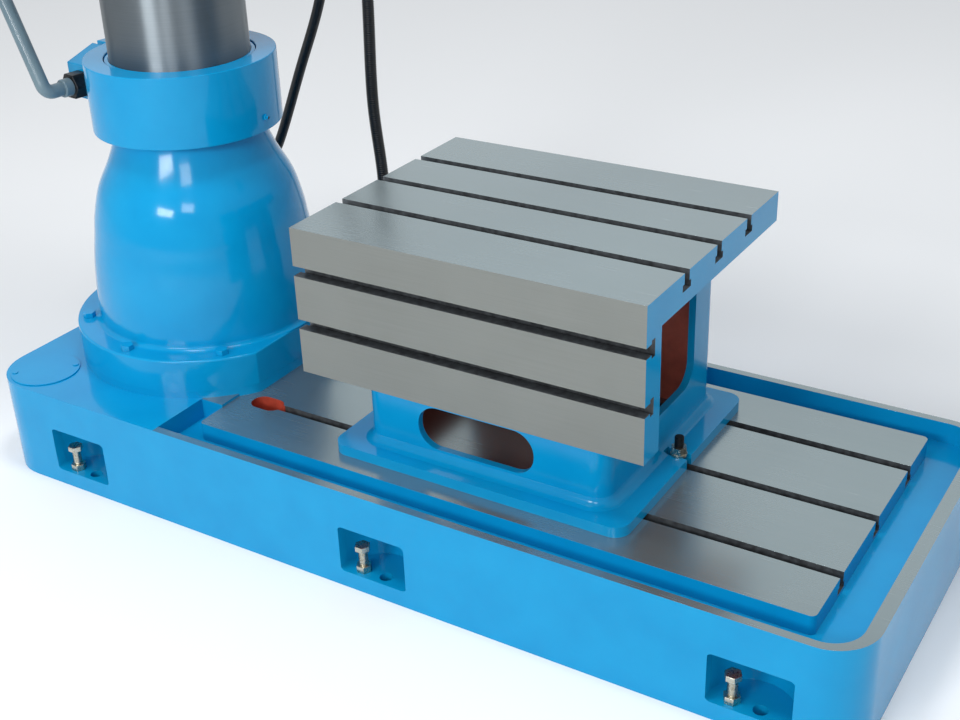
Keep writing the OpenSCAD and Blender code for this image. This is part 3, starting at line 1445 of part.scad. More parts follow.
module crank() {
    translate([wheel_at, -head_front - wheel_gap - wheel_rim, wheel_z + wheel_r - wheel_rim / 2])
        to_front() {
            cylinder(r = rod_r, h = crank_len);
            translate([0, 0, boss_h / 4]) cylinder(r = crank_r, h = crank_len);
        }
}
module fine_wheel() {
    color(dark) translate([spindle_x + head_w / 2 + wheel_gap, -head_front / 2, hub_z]) rotate([0, 90, 0]) {
        dished_wheel(fine_r);
        translate([0, 0, gap - wheel_gap]) cylinder(r = shaft_r, h = wheel_gap);
    }
}
module turn_lever(x) {
    color(dark) translate([spindle_x + x, -head_front - gap, head_z + speed_up]) {
        to_front() cylinder(r = boss_r, h = boss_h + rod_r + over);
        translate([0, -boss_h, 0]) knob_lever(speed_len, rod_r, knob_r);
    }
}
module speed_lever() {
    turn_lever(speed_x);
}
module range_lever() {
    turn_lever(speed_x + speed_pitch);
}
module head_clamp() {
    color(dark) translate([head_left - gap, 0, head_z + head_h / 2]) rotate([0, -90, 0]) {
        cylinder(r = boss_r, h = boss_h + rod_r + over);
        translate([0, 0, boss_h]) rotate([90, 0, 0]) knob_lever(clamp_len, rod_r, knob_r);
    }
}
module button_panel() {
    color(grey) difference() {
        box([panel_x, -head_front - panel_t, panel_z], [panel_x + panel_w, -head_front, panel_z + panel_h]);
        for (i = sides, k = sides) translate([button_x + i * button_pitch / 2, -head_front - panel_t - over,
            button_z + k * button_pitch / 2]) rotate([-90, 0, 0])
            cylinder(d = button_d + 4 * fit, h = panel_t);
    }
}
module push_button(i, k) {
    translate([button_x + i * button_pitch / 2, -head_front - panel_t / 2,
        button_z + k * button_pitch / 2]) to_front()
        cylinder(d = button_d, h = panel_t / 2 + button_out);
}
module start_button() {
    color("#3a9a4a") push_button(-1, 1);
}
module stop_button() {
    color("#c03028") push_button(1, 1);
}
module up_button() {
    color(dark) push_button(-1, -1);
}
module down_button() {
    color(dark) push_button(1, -1);
}

base_casting();
levelling_screws();
sump_cover();
pedestal();
pedestal_bolts();
thrust_bearing();
clamp_ring();
oil_nipple();
clamp_screw();
clamp_nut();
clamp_lever();
column();
column_key();
table_casting();
table_bolts();
table_nuts();
coolant_pump();
pump_box();
elbow_box();
pump_conduit();
supply_conduit();
lift_housing();
conduit_glands();
housing_lid();
lift_motor();
lift_gear();
lift_pinion();
lift_screw();
lift_nut();
arm_casting();
arm_rack();
arm_end_cover();
arm_clamp();
cabinet();
cabinet_cover();
main_switch();
head_casting();
head_keepers();
head_cover();
spindle_cap();
drive_motor();
motor_cowl();
motor_box();
drive_gear();
motor_pinion();
quill();
spindle_bearings();
spindle();
feed_hub();
feed_handles();
traverse_wheel();
fine_wheel();
speed_lever();
range_lever();
head_clamp();
button_panel();
start_button();
stop_button();
up_button();
down_button();
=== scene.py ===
import bpy
import json
import math
from mathutils import Matrix, Vector


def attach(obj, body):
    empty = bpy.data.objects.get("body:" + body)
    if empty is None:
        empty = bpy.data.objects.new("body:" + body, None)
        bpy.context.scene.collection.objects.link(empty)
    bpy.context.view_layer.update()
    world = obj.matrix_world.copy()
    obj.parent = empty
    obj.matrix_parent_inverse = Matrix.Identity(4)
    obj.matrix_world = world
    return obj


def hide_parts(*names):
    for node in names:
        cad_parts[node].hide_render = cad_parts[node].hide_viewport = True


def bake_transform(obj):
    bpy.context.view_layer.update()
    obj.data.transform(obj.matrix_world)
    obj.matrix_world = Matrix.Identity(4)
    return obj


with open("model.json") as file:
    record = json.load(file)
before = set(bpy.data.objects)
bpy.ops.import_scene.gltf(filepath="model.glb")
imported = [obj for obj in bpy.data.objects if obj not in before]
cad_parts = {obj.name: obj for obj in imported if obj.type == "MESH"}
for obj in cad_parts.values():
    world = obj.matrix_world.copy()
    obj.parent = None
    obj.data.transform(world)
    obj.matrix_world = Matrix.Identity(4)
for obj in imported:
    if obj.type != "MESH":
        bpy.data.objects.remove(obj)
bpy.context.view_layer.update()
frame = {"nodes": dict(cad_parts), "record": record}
nodes = frame["nodes"]
bodyOf = {n: b for b, names in frame["record"]["behaviour"]["bodies"].items() for n in names}
mm = 0.001
touch = 0.4 * mm  # a face or an edge this near to a plane lies in it
squareOn = 0.9  # least share of a face's normal along the axis that it looks along
bpy.ops.object.select_all(action="DESELECT")
print("frame loaded with", len(nodes), "nodes")


# camera, floor and light

photoCamera = {"place": (1.4352, -1.4693, 1.1397), "azimuth": 32.606, "elevation": 27.583, "roll": -2.145,
               "lens": 52.54, "sensor": 36}


def setCamera(c):
    turn, dip, roll = (math.radians(c[k]) for k in ("azimuth", "elevation", "roll"))
    ahead = Vector((-math.sin(turn) * math.cos(dip), math.cos(turn) * math.cos(dip), -math.sin(dip)))
    level = Vector((math.cos(turn), math.sin(turn), 0))
    above = level.cross(ahead)
    right = math.cos(roll) * level + math.sin(roll) * above
    up = math.cos(roll) * above - math.sin(roll) * level
    bpy.ops.object.camera_add()
    camera = bpy.context.object
    camera.data.sensor_width = c["sensor"]
    camera.data.lens = c["lens"]
    rows = [(right[i], up[i], -ahead[i], c["place"][i]) for i in range(3)]
    camera.matrix_world = Matrix(rows + [(0, 0, 0, 1)])
    bpy.context.scene.camera = camera


setCamera(photoCamera)


def linear(code):  # sRGB hex to linear
    parts = [int(code[i:i + 2], 16) / 255 for i in (1, 3, 5)]
    return tuple(v / 12.92 if v <= 0.04045 else ((v + 0.055) / 1.055) ** 2.4 for v in parts) + (1.0,)


def addNode(tree, kind, inputs=None, **settings):
    node = tree.nodes.new(kind)
    for key, value in settings.items():
        setattr(node, key, value)
    for key, value in (inputs or {}).items():
        if isinstance(value, bpy.types.NodeSocket):
            tree.links.new(value, node.inputs[key])
        else:
            node.inputs[key].default_value = value
    return node


def newFinish(name, colour, rough, metal=0.0, **sockets):
    finish = bpy.data.materials.new(name)
    finish.use_nodes = True
    tree = finish.node_tree
    shader = tree.nodes["Principled BSDF"]
    shader.inputs["Base Color"].default_value = linear(colour)
    shader.inputs["Roughness"].default_value = rough
    shader.inputs["Metallic"].default_value = metal
    for key, value in sockets.items():
        shader.inputs[key.replace("_", " ")].default_value = value
    place = addNode(tree, "ShaderNodeTexCoord").outputs["Object"]
    return finish, tree, shader, place


studio = {"floor": "#f2f3f4", "floorRough": 0.9, "floorSize": 24, "floorMiddle": (0.4, 0, 0),
          "wall": "#eef2f6", "wallLight": 0.55}


def setStudio(s):
    bpy.ops.mesh.primitive_plane_add(size=s["floorSize"], location=s["floorMiddle"])
    floor = bpy.context.object
    floor.name = "studioFloor"
    floor.data.materials.append(newFinish("pale paper floor", s["floor"], s["floorRough"])[0])
    world = bpy.data.worlds.new("soft studio")
    bpy.context.scene.world = world
    world.use_nodes = True
    sky = world.node_tree.nodes["Background"]
    sky.inputs["Color"].default_value = linear(s["wall"])
    sky.inputs["Strength"].default_value = s["wallLight"]
    bpy.context.scene.view_settings.view_transform = "Standard"


setStudio(studio)

softboxes = [  # place, point it looks at, width and height in metres, watts
    {"place": (0.2, -3.6, 1.75), "aim": (0.4, 0, 0.3), "size": (1.2, 0.6), "power": 56},
    {"place": (1.8, -3.2, 2.3), "aim": (0.4, 0, 0.3), "size": (0.9, 0.7), "power": 22},
    {"place": (-1.5, 3.5, 2.25), "aim": (0.5, 0, 0.3), "size": (6.0, 2.7), "power": 20},
    {"place": (-0.2, -1.3, 4.2), "aim": (0.1, 0, 0.3), "size": (0.8, 0.8), "power": 45},
    {"place": (1.3, -0.2, 4.2), "aim": (0.9, 0.2, 0.3), "size": (0.8, 0.8), "power": 45},
]
for i, lamp in enumerate(softboxes):
    bpy.ops.object.light_add(type="AREA", location=lamp["place"])
    light = bpy.context.object
    light.name = "softbox" + str(i)
    light.data.shape = "RECTANGLE"
    light.data.size, light.data.size_y = lamp["size"]
    light.data.energy = lamp["power"]
    aim = Vector(lamp["aim"]) - Vector(lamp["place"])
    light.rotation_euler = aim.to_track_quat("-Z", "Y").to_euler()
print("camera, floor and softboxes set")


# finishes

def perMetre(size):  # how many marks of a size in mm lie in a metre
    return 1 / (size * mm)


def noise(tree, place, scale, detail, rough=0.5):
    inputs = {"Vector": place, "Scale": scale, "Detail": detail, "Roughness": rough}
    return addNode(tree, "ShaderNodeTexNoise", inputs).outputs["Fac"]


def remap(tree, value, ends, results):
    inputs = {"Value": value, "From Min": ends[0], "From Max": ends[1],
              "To Min": results[0], "To Max": results[1]}
    return addNode(tree, "ShaderNodeMapRange", inputs).outputs["Result"]


def bump(tree, height, strength, depth, under=None):  # depth in mm; under is the normal of a coarser bump
    inputs = {"Height": height, "Strength": strength, "Distance": depth * mm}
    if under is not None:
        inputs["Normal"] = under
    return addNode(tree, "ShaderNodeBump", inputs).outputs["Normal"]


def twoTone(tree, factor, tones, ends=(0.0, 1.0)):
    blend = addNode(tree, "ShaderNodeValToRGB", {"Fac": factor})
    for element, end, tone in zip(blend.color_ramp.elements, ends, tones):
        element.position = end
        element.color = linear(tone)
    return blend.outputs["Color"]


def connect(tree, shader, **outputs):
    for key, output in outputs.items():
        tree.links.new(output, shader.inputs[key.replace("_", " ")])


# Pattern sizes are in mm. A bump is its strength and its depth in mm.
# Gloss is the least and the most share of the roughness.
enamelLook = {"coat": 0.1, "coatRough": 0.03, "shine": 0.22, "ends": (0.3, 0.7), "gloss": (0.8, 1.25),
              "cloud": 70, "wave": 45, "waveBump": (0.2, 1.5), "peel": 4, "peelBump": (0.03, 0.3)}


def makeEnamel(name, light, deep, rough):
    # Sprayed gloss enamel over filled cast iron: a wet even shine, faint orange peel that is drawn
    # coarse to show, and slow waves where filler was rubbed.
    e = enamelLook
    finish, tree, shader, place = newFinish(name, light, rough, Coat_Weight=e["coat"],
                                            Coat_Roughness=e["coatRough"], Specular_IOR_Level=e["shine"])
    cloud = noise(tree, place, perMetre(e["cloud"]), 3.0)
    slow = bump(tree, noise(tree, place, perMetre(e["wave"]), 1.0), *e["waveBump"])
    fine = bump(tree, noise(tree, place, perMetre(e["peel"]), 1.0), *e["peelBump"], slow)
    connect(tree, shader, Base_Color=twoTone(tree, cloud, (deep, light), e["ends"]),
            Roughness=remap(tree, cloud, e["ends"], [rough * share for share in e["gloss"]]), Normal=fine)
    return finish


groundLook = {"scratchGrain": 0.6, "scratchBump": (0.03, 0.2), "patch": 110, "ends": (0.7, 1.3),
              "gloss": (0.85, 1.2), "stripe": 1.0, "stripeTurn": 0.25}


def makeGround(name, light, deep, rough, lay, metal, onBar=False):
    # Ground metal: fine scratches along the table's travel or round a bar, under a sheen that
    # changes in slow patches.
    g = groundLook
    finish, tree, shader, place = newFinish(name, light, rough, metal)
    along = addNode(tree, "ShaderNodeMapping", {"Vector": place, "Scale": [perMetre(size) for size in lay]})
    scratch = noise(tree, along.outputs["Vector"], 1.0, 3.0, g["scratchGrain"])
    patch = noise(tree, place, perMetre(g["patch"]), 2.0)
    both = addNode(tree, "ShaderNodeMath", {0: scratch, 1: patch}, operation="ADD").outputs["Value"]
    connect(tree, shader, Base_Color=twoTone(tree, remap(tree, both, g["ends"], (0.0, 1.0)), (deep, light)),
            Roughness=remap(tree, both, g["ends"], [rough * share for share in g["gloss"]]),
            Normal=bump(tree, scratch, *g["scratchBump"]))
    if onBar:  # marks run round the bar, so a lamp is drawn out into an upright stripe
        shader.inputs["Anisotropic"].default_value = g["stripe"]
        shader.inputs["Anisotropic Rotation"].default_value = g["stripeTurn"]
        turn = addNode(tree, "ShaderNodeTangent", direction_type="RADIAL", axis="Z")
        connect(tree, shader, Tangent=turn.outputs["Tangent"])
    return finish


plainLook = {"ends": (0.3, 0.7), "gloss": (0.75, 1.25), "depth": 0.4}


def makePlain(name, light, deep, rough, metal=0.0, grain=8.0, relief=0.08, **sockets):
    # One even finish with its own fine mottling in colour, gloss and relief.
    p = plainLook
    finish, tree, shader, place = newFinish(name, light, rough, metal, **sockets)
    mottle = noise(tree, place, perMetre(grain), 3.0)
    connect(tree, shader, Base_Color=twoTone(tree, mottle, (deep, light), p["ends"]),
            Roughness=remap(tree, mottle, (0.0, 1.0), [rough * share for share in p["gloss"]]),
            Normal=bump(tree, mottle, relief, p["depth"]))
    return finish


# size of grinding marks in mm along x, y and z, drawn wide to show
alongTable, roundBar = (200.0, 1.4, 1.4), (250.0, 250.0, 1.1)
finishes = {
    "enamel": makeEnamel("gloss enamel on cast iron", "#0895ca", "#058ec4", 0.13),
    "greyEnamel": makeEnamel("satin grey enamel", "#71868f", "#647882", 0.3),
    # Ground iron painted lighter and bluer than bare iron: a painted reflection of a pale sky, as seen on the tops.
    "iron": makeGround("surface ground cast iron", "#9fadb0", "#96a5a8", 0.24, alongTable, 0.8),
    # A darker, greyer copy of the same iron for the upright front plates: painted shade from a darker surround.
    "frontIron": makeGround("front ground cast iron darkened as painted shade", "#878a86", "#7f827e", 0.36, alongTable, 0.75),
    "steel": makeGround("fine turned steel", "#b4b7b9", "#9fa3a6", 0.24, roundBar, 1.0),
    # The column's ground steel is painted darker than the other steel: a painted dark reflection of its surroundings.
    "columnSteelPaintedDark": makeGround("cylindrical ground column steel", "#8b9398", "#7e868b", 0.42, roundBar, 1.0, True),
    # Milled iron that oil has darkened unevenly.
    "slot": makePlain("milled slot with old oil", "#5f6468", "#3f4245", 0.45, 0.4),
    # Brushed primers: flat and dusty, the red lead deeper and a little smoother.
    "oxide": makePlain("red oxide primer", "#d2735f", "#bb6350", 0.62, 0.0, 16.0),
    "redLead": makePlain("red lead primer", "#b5442f", "#8f3322", 0.55, 0.0, 16.0),
    # Warm bright plating with a small crystal sparkle.
    "zinc": makePlain("bright zinc plate", "#cfccc0", "#b3ae9c", 0.28, 1.0, 3.3),
    # Bright flanks under a brown film that lies thicker in places.
    "greased": makePlain("milled thread with old grease", "#9a9b9b", "#6f6d68", 0.27, 1.0, 16.0),
    # Oiled near-black steel with a soft grey sheen.
    "blackOxide": makePlain("black oxide steel", "#2b2c2e", "#18191a", 0.38, 0.6, 5.0),
    # Deep black moulding with a polished skin.
    "phenolic": makePlain("moulded black phenolic", "#17181a", "#0e0f10", 0.16, 0.0, 11.0, 0.03),
    # Half-dull skin of drawn vinyl, and the duller one of rubber.
    "pvc": makePlain("black extruded vinyl", "#1b1c1e", "#101112", 0.42, 0.0, 7.0),
    "rubber": makePlain("oil proof rubber", "#202021", "#141415", 0.7, 0.0, 4.5),
    # Yellow metal with faint tool marks.
    "bronze": makePlain("turned bearing bronze", "#b8935a", "#9a7844", 0.3, 1.0, 3.8),
    # Cold mirror shine, almost without marks.
    "chrome": makePlain("hard chrome plate", "#dfe2e4", "#d2d5d8", 0.09, 1.0, 25.0, 0.02),
    # Coloured mouldings with a smooth shine.
    "green": makePlain("moulded green cap", "#2f9a48", "#268a3d", 0.25, 0.0, 11.0, 0.03),
    "red": makePlain("moulded red cap", "#c23028", "#ac251e", 0.25, 0.0, 11.0, 0.03),
    # Even silver sheen of etched plate, and the chalky white of filled lines.
    "plate": makePlain("satin anodised aluminium plate", "#c4c7ca", "#b6b9bc", 0.36, 1.0, 2.6),
    "whiteLine": makePlain("white filled engraving", "#e8e8e4", "#dcdcd8", 0.5, 0.0, 5.0),
    # Wet glass with amber oil behind it.
    "oilGlass": makePlain("sight glass with oil behind it", "#8a6a22", "#6f5216", 0.08, 0.0, 33.0, 0.01,
                          Coat_Weight=0.8),
}
print("finishes made:", len(finishes))


# copies of the solids with rounded edges

weld = 0.004 * mm  # points nearer than this become one
flatJoint = math.radians(0.4)  # faces that meet flatter than this become one
sharpFrom = math.radians(34)  # edges sharper than this are rounded
smoothTo = math.radians(32)  # edges flatter than this are shaded smooth


def only(piece):
    bpy.ops.object.select_all(action="DESELECT")
    piece.select_set(True)
    bpy.context.view_layer.objects.active = piece


def addMesh(name, mesh):
    piece = bpy.data.objects.new(name, mesh)
    bpy.context.scene.collection.objects.link(piece)
    only(piece)
    return piece


def cleanCopy(node, name):
    piece = addMesh(name, nodes[node].data.copy())
    bpy.ops.mesh.customdata_custom_splitnormals_clear()
    bpy.ops.object.mode_set(mode="EDIT")
    bpy.ops.mesh.select_all(action="SELECT")
    bpy.ops.mesh.remove_doubles(threshold=weld)
    bpy.ops.mesh.dissolve_limited(angle_limit=flatJoint)
    bpy.ops.object.mode_set(mode="OBJECT")
    return piece


def paint(piece, names, pick=None):  # pick names the finish of a face from its centre and normal
    piece.data.materials.clear()
    for name in names:
        piece.data.materials.append(finishes[name])
    for face in piece.data.polygons:
        face.material_index = names.index(pick(face.center, face.normal)) if pick else 0


def roundEdges(piece, width, steps=2, share=None):  # share is how much of the width an edge gets, by its place
    only(piece)
    bpy.ops.object.shade_smooth()
    bpy.ops.object.mode_set(mode="EDIT")
    bpy.ops.mesh.select_mode(type="EDGE")
    bpy.ops.mesh.select_all(action="DESELECT")
    bpy.ops.mesh.edges_select_sharp(sharpness=sharpFrom)
    bpy.ops.object.mode_set(mode="OBJECT")
    points = piece.data.vertices
    weight = piece.data.attributes.new("bevel_weight_edge", "FLOAT", "EDGE")
    for edge in piece.data.edges:
        if edge.select:
            middle = (points[edge.vertices[0]].co + points[edge.vertices[1]].co) / 2
            weight.data[edge.index].value = share(middle) if share else 1.0
    bevel = piece.modifiers.new("edge", "BEVEL")
    bevel.width = width * mm
    bevel.segments = steps
    bevel.limit_method = "WEIGHT"
    bevel.use_clamp_overlap = True
    bevel.harden_normals = True
    bpy.ops.object.modifier_apply(modifier="edge")


def standFor(piece, node):
    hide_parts(node)
    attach(piece, bodyOf[node])


baseLook = {  # edge in mm, shares of it, and places in metres
    "edge": 5.0, "edgeShare": 0.36, "slotEdge": 0.09, "seatEdge": 0.06,
    "seat": 0.162, "gutter": 0.121, "rimFrom": 0.1195, "rimTop": 0.152, "platformTop": 0.148, "platformFrom": 0.1585,
    "slotPitch": 0.1325, "slotFloor": 0.125, "slotFrom": 0.184, "slotTo": 1.0695, "slotEdgesFrom": 0.18,
    "entryEnd": 0.2365, "entryHalf": 0.0168, "teeHalf": 0.0118, "cellTop": 0.1,
}


def dressBase(b):
    piece = cleanCopy("base_casting", "baseCasting")
    bpy.ops.object.mode_set(mode="EDIT")
    for x in (b["rimFrom"] + touch / 2, b["entryEnd"]):
        bpy.ops.mesh.select_all(action="SELECT")
        bpy.ops.mesh.bisect(plane_co=(x, 0, 0), plane_no=(1, 0, 0))
    bpy.ops.object.mode_set(mode="OBJECT")

    def slotSide(c):
        return min(abs(c.y - k * b["slotPitch"]) for k in (-1, 0, 1))

    def inSlot(c, half):
        return slotSide(c) < half and b["slotFloor"] - touch < c.z < b["platformTop"] - touch / 2

    def onTop(c, n, top, start):
        return n.z > squareOn and abs(c.z - b[top]) < touch and c.x > b[start]

    def pick(c, n):
        if onTop(c, n, "platformTop", "platformFrom") or onTop(c, n, "rimTop", "rimFrom"):
            return "iron"
        if inSlot(c, b["entryHalf"]) and b["slotFrom"] - touch < c.x < b["entryEnd"]:
            return "redLead"
        if inSlot(c, b["teeHalf"]) and b["entryEnd"] < c.x < b["slotTo"] - touch:
            return "slot"
        if c.z < touch or (n.z < -squareOn and c.z < b["cellTop"]):
            return "oxide"
        return "enamel"

    def share(c):
        if slotSide(c) < b["entryHalf"] + touch and c.x > b["slotEdgesFrom"]:
            return b["slotEdge"]
        if abs(c.z - b["gutter"]) < touch:
            return 1.0
        return b["seatEdge"] if c.z > b["seat"] - touch else b["edgeShare"]

    paint(piece, ["enamel", "iron", "slot", "redLead", "oxide"], pick)
    roundEdges(piece, b["edge"], 3, share)
    standFor(piece, "base_casting")


dressBase(baseLook)

tableLook = {  # edge in mm, its share at a slot, places in metres, and limits for a normal
    "edge": 1.2, "slotEdge": 0.35, "top": 0.475, "front": -0.203, "frontFoot": 0.26, "under": 0.434,
    "slotYs": (-0.097, -0.003, 0.091), "slotZs": (0.415, 0.339), "depth": 0.023, "half": 0.0118,
    "insideLow": (0.4235, -0.154), "insideHigh": (0.7675, 0.154), "slotEnd": 0.5, "ceiling": 0.5,
}


def dressTable(t):
    piece = cleanCopy("table_casting", "boxTable")

    def inSlot(c):
        over = c.z > t["top"] - t["depth"] - touch and min(abs(c.y - y) for y in t["slotYs"]) < t["half"]
        ahead = c.y < t["front"] + t["depth"] + touch and min(abs(c.z - z) for z in t["slotZs"]) < t["half"]
        return over or ahead

    def inside(c):
        return c.z < t["under"] + touch and all(
            low - touch < v < high + touch for low, v, high in zip(t["insideLow"], c, t["insideHigh"]))

    def pick(c, n):
        if n.z > squareOn and abs(c.z - t["top"]) < touch:
            return "iron"
        # The front plate takes the darker copy of the iron, which is painted shade.
        if n.y < -squareOn and abs(c.y - t["front"]) < touch and c.z > t["frontFoot"]:
            return "frontIron"
        if inSlot(c) and abs(n.x) < t["slotEnd"]:
            return "slot"
        return "oxide" if inside(c) and n.z < t["ceiling"] else "enamel"

    paint(piece, ["enamel", "iron", "frontIron", "slot", "oxide"], pick)
    roundEdges(piece, t["edge"], 2, lambda c: t["slotEdge"] if inSlot(c) else 1.0)
    standFor(piece, "table_casting")


dressTable(tableLook)
print("base and table dressed")


def smoothLine(points, steps):  # a smooth line through points of two or three numbers
    out = []
    for i in range(len(points) - 1):
        a, b, c, d = (Vector(points[k]) for k in (max(i - 1, 0), i, i + 1, min(i + 2, len(points) - 1)))
        for k in range(steps):
            t = k / steps
            bend = (2 * a - 5 * b + 4 * c - d) * t * t + (3 * b - a - 3 * c + d) * t ** 3
            out.append(0.5 * (2 * b + (c - a) * t + bend))
    out.append(Vector(points[-1]))
    return out


def addOutline(name, points, closed):  # a line of edges through points of (radius, height) in mm
    last = len(points) if closed else len(points) - 1
    mesh = bpy.data.meshes.new(name)
    mesh.from_pydata([(r * mm, 0, z * mm) for r, z in points],
                     [(i, (i + 1) % len(points)) for i in range(last)], [])
    return addMesh(name, mesh)


def lathe(name, profile, steps, turn=360):  # closed profile, spun about the upright axis
    piece = addOutline(name, profile, True)
    bpy.ops.object.mode_set(mode="EDIT")
    bpy.ops.mesh.select_all(action="SELECT")
    bpy.ops.mesh.spin(steps=steps, angle=math.radians(turn), center=(0, 0, 0), axis=(0, 0, 1))
    bpy.ops.mesh.select_all(action="SELECT")
    bpy.ops.mesh.remove_doubles(threshold=weld / 2)
    if turn < 360:
        bpy.ops.mesh.fill_holes(sides=0)
        bpy.ops.mesh.select_all(action="SELECT")
    bpy.ops.mesh.normals_make_consistent(inside=False)
    bpy.ops.object.mode_set(mode="OBJECT")
    bpy.ops.object.shade_smooth_by_angle(angle=smoothTo)
    return piece


def addCylinder(sides, radius, low, high):  # upright, in mm
    bpy.ops.object.select_all(action="DESELECT")
    bpy.ops.mesh.primitive_cylinder_add(vertices=sides, radius=radius * mm, depth=(high - low) * mm,
                                        location=(0, 0, (high + low) / 2 * mm))
    bpy.ops.object.transform_apply(location=True)
    return bpy.context.object


pedestalLook = {  # mm; shares are of the bulb's swell over the neck, and of its height
    "edge": 3.0, "footEdge": 0.1, "flange": 208.0, "flangeSides": 192, "flat": 178.0, "seat": 162.0, "flangeTop": 213.0,
    "bulb": 173.0, "bulbSteps": 160, "neck": 108.5, "height": 290.0, "ring": 508.0, "neckTop": 609.5, "root": 7.0,
    "rootStep": 15, "rootGap": 1.0, "sideSteps": 5, "bore": 101.6, "boreChamfer": 1.2, "sink": 0.02,
    "lip": 114.0, "lipRise": 2.0, "lipSlope": 0.4, "mouth": 2.5, "mouthMiddle": 0.7,
    "shares": [(1, 0.03), (0.995, 0.092), (0.985, 0.157), (0.955, 0.258), (0.907, 0.359), (0.83, 0.465),
               (0.754, 0.57), (0.585, 0.705), (0.308, 0.826), (0.16, 0.9), (0.06, 0.96), (0.01, 0.998)],
}


def dressPedestal(p):
    flange = addCylinder(p["flangeSides"], p["flange"], p["seat"], p["flangeTop"])
    flange.name = "pedestalFlange"
    bpy.ops.object.mode_set(mode="EDIT")
    bpy.ops.mesh.select_all(action="SELECT")
    bpy.ops.mesh.bisect(plane_co=(p["flat"] * mm, 0, 0), plane_no=(1, 0, 0), use_fill=True, clear_outer=True)
    bpy.ops.object.mode_set(mode="OBJECT")
    paint(flange, ["enamel"])
    roundEdges(flange, p["edge"], 3, lambda c: 1.0 if c.z > p["seat"] * mm + touch else p["footEdge"])
    root, foot, neck, bore, end = (p[k] for k in ("root", "flangeTop", "neck", "bore", "neckTop"))
    fillet = [(p["bulb"] + root * (1 - math.sin(a)), foot + root * (1 - math.cos(a)))
              for a in (math.radians(v) for v in range(0, 91, p["rootStep"]))]
    side = [(neck + s * (p["bulb"] - neck), foot + z * p["height"]) for s, z in p["shares"]]
    side = [tuple(v) for v in smoothLine(side, p["sideSteps"]) if v[1] > fillet[-1][1] + p["rootGap"]]
    upper = [(p["lip"], foot + p["height"] + p["lipRise"]), (p["lip"], p["ring"] - p["lipSlope"]), (neck, p["ring"])]
    mouth = [(neck, end - p["mouth"]), (neck - p["mouthMiddle"], end - p["mouthMiddle"]), (neck - p["mouth"], end)]
    inner = [(bore + p["boreChamfer"], end), (bore, end - p["boreChamfer"]), (bore, foot - p["sink"])]
    bulb = lathe("pedestalBulb", fillet + side + upper + mouth + inner, p["bulbSteps"])
    paint(bulb, ["enamel"])
    for piece in (flange, bulb):
        standFor(piece, "pedestal")


dressPedestal(pedestalLook)
print("pedestal dressed")

# conduits: the same routes as the solids follow, in mm

conduits = {
    "pump": {"node": "pump_conduit", "ribs": 0.0, "route": [
        (-172, 302, 222), (-172, 302, 238), (-172, 302, 246), (-168, 305, 274), (-147, 313, 308), (-107, 317, 355),
        (-42, 317, 496), (12, 317, 617), (46, 317, 740), (60, 317, 900), (60, 317, 1100), (60, 317, 1300),
        (60, 317, 1500), (60, 314, 1590), (60, 296, 1655), (60, 250, 1687), (60, 200, 1695), (60, 150, 1695),
        (60, 126, 1695)]},
    "supply": {"node": "supply_conduit", "ribs": 1.2, "route": [
        (115, 317, 100), (115, 317, 112), (115, 317, 124), (116, 317, 200), (114, 317, 336), (104, 317, 464),
        (108, 317, 627), (110, 317, 800), (110, 317, 1000), (109, 317, 1200), (107, 317, 1500), (106, 314, 1590),
        (105, 296, 1655), (105, 250, 1687), (105, 200, 1695), (105, 150, 1695), (105, 126, 1695)]},
}
# sizes in mm, with glance as how far to each side the direction is read, and heights of the twist in metres
conduitLook = {"radius": 8.5, "sides": 18, "pitch": 3.6, "ribParts": 4, "ribHigh": (1, 2), "routeSteps": 12,
               "smoothParts": 220, "pathParts": 160, "glance": 3.0, "twistFrom": 0.42, "twistTo": 0.78}


def layConduit(name, c, look):
    line = [v * mm for v in smoothLine(c["route"], look["routeSteps"])]
    runs = [0.0]
    for a, b in zip(line, line[1:]):
        runs.append(runs[-1] + (b - a).length)
    length = runs[-1]

    def at(s):
        s = min(max(s, 0), length)
        i = max(k for k in range(len(runs) - 1) if runs[k] <= s)
        return line[i].lerp(line[i + 1], (s - runs[i]) / (runs[i + 1] - runs[i]))

    plain, parts = look["radius"], look["ribParts"]
    if c["ribs"]:
        count = int(length / (look["pitch"] * mm))
        stations = [((i + k / parts) * length / count, plain + (c["ribs"] if k in look["ribHigh"] else 0))
                    for i in range(count) for k in range(parts)] + [(length, plain)]
    else:
        stations = [(length * i / look["smoothParts"], plain) for i in range(look["smoothParts"] + 1)]
    points, faces, n, glance = [], [], look["sides"], look["glance"] * mm
    for s, r in stations:
        ahead = (at(s + glance) - at(s - glance)).normalized()
        u = (Vector((1, 0, 0)) - ahead * ahead.x).normalized()
        v = ahead.cross(u)
        for k in range(n):
            a = 2 * math.pi * k / n
            points.append(at(s) + r * mm * (math.cos(a) * u + math.sin(a) * v))
    for i in range(len(stations) - 1):
        for k in range(n):
            faces.append((i * n + k, i * n + (k + 1) % n, (i + 1) * n + (k + 1) % n, (i + 1) * n + k))
    faces.append(tuple(reversed(range(n))))
    faces.append(tuple(range(len(points) - n, len(points))))
    mesh = bpy.data.meshes.new(name)
    mesh.from_pydata([tuple(p) for p in points], [], faces)
    piece = addMesh(name, mesh)
    bpy.ops.object.shade_smooth()
    paint(piece, ["pvc"])
    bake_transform(piece)
    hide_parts(c["node"])
    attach(piece, "base")
    path = [tuple(at(length * i / look["pathParts"])) for i in range(look["pathParts"] + 1)]
    print("conduit", name, "is", round(length, 3), "m long")


for name, c in conduits.items():
    layConduit(name + "Conduit", c, conduitLook)


# every other solid: a copy with rounded edges and its own finishes

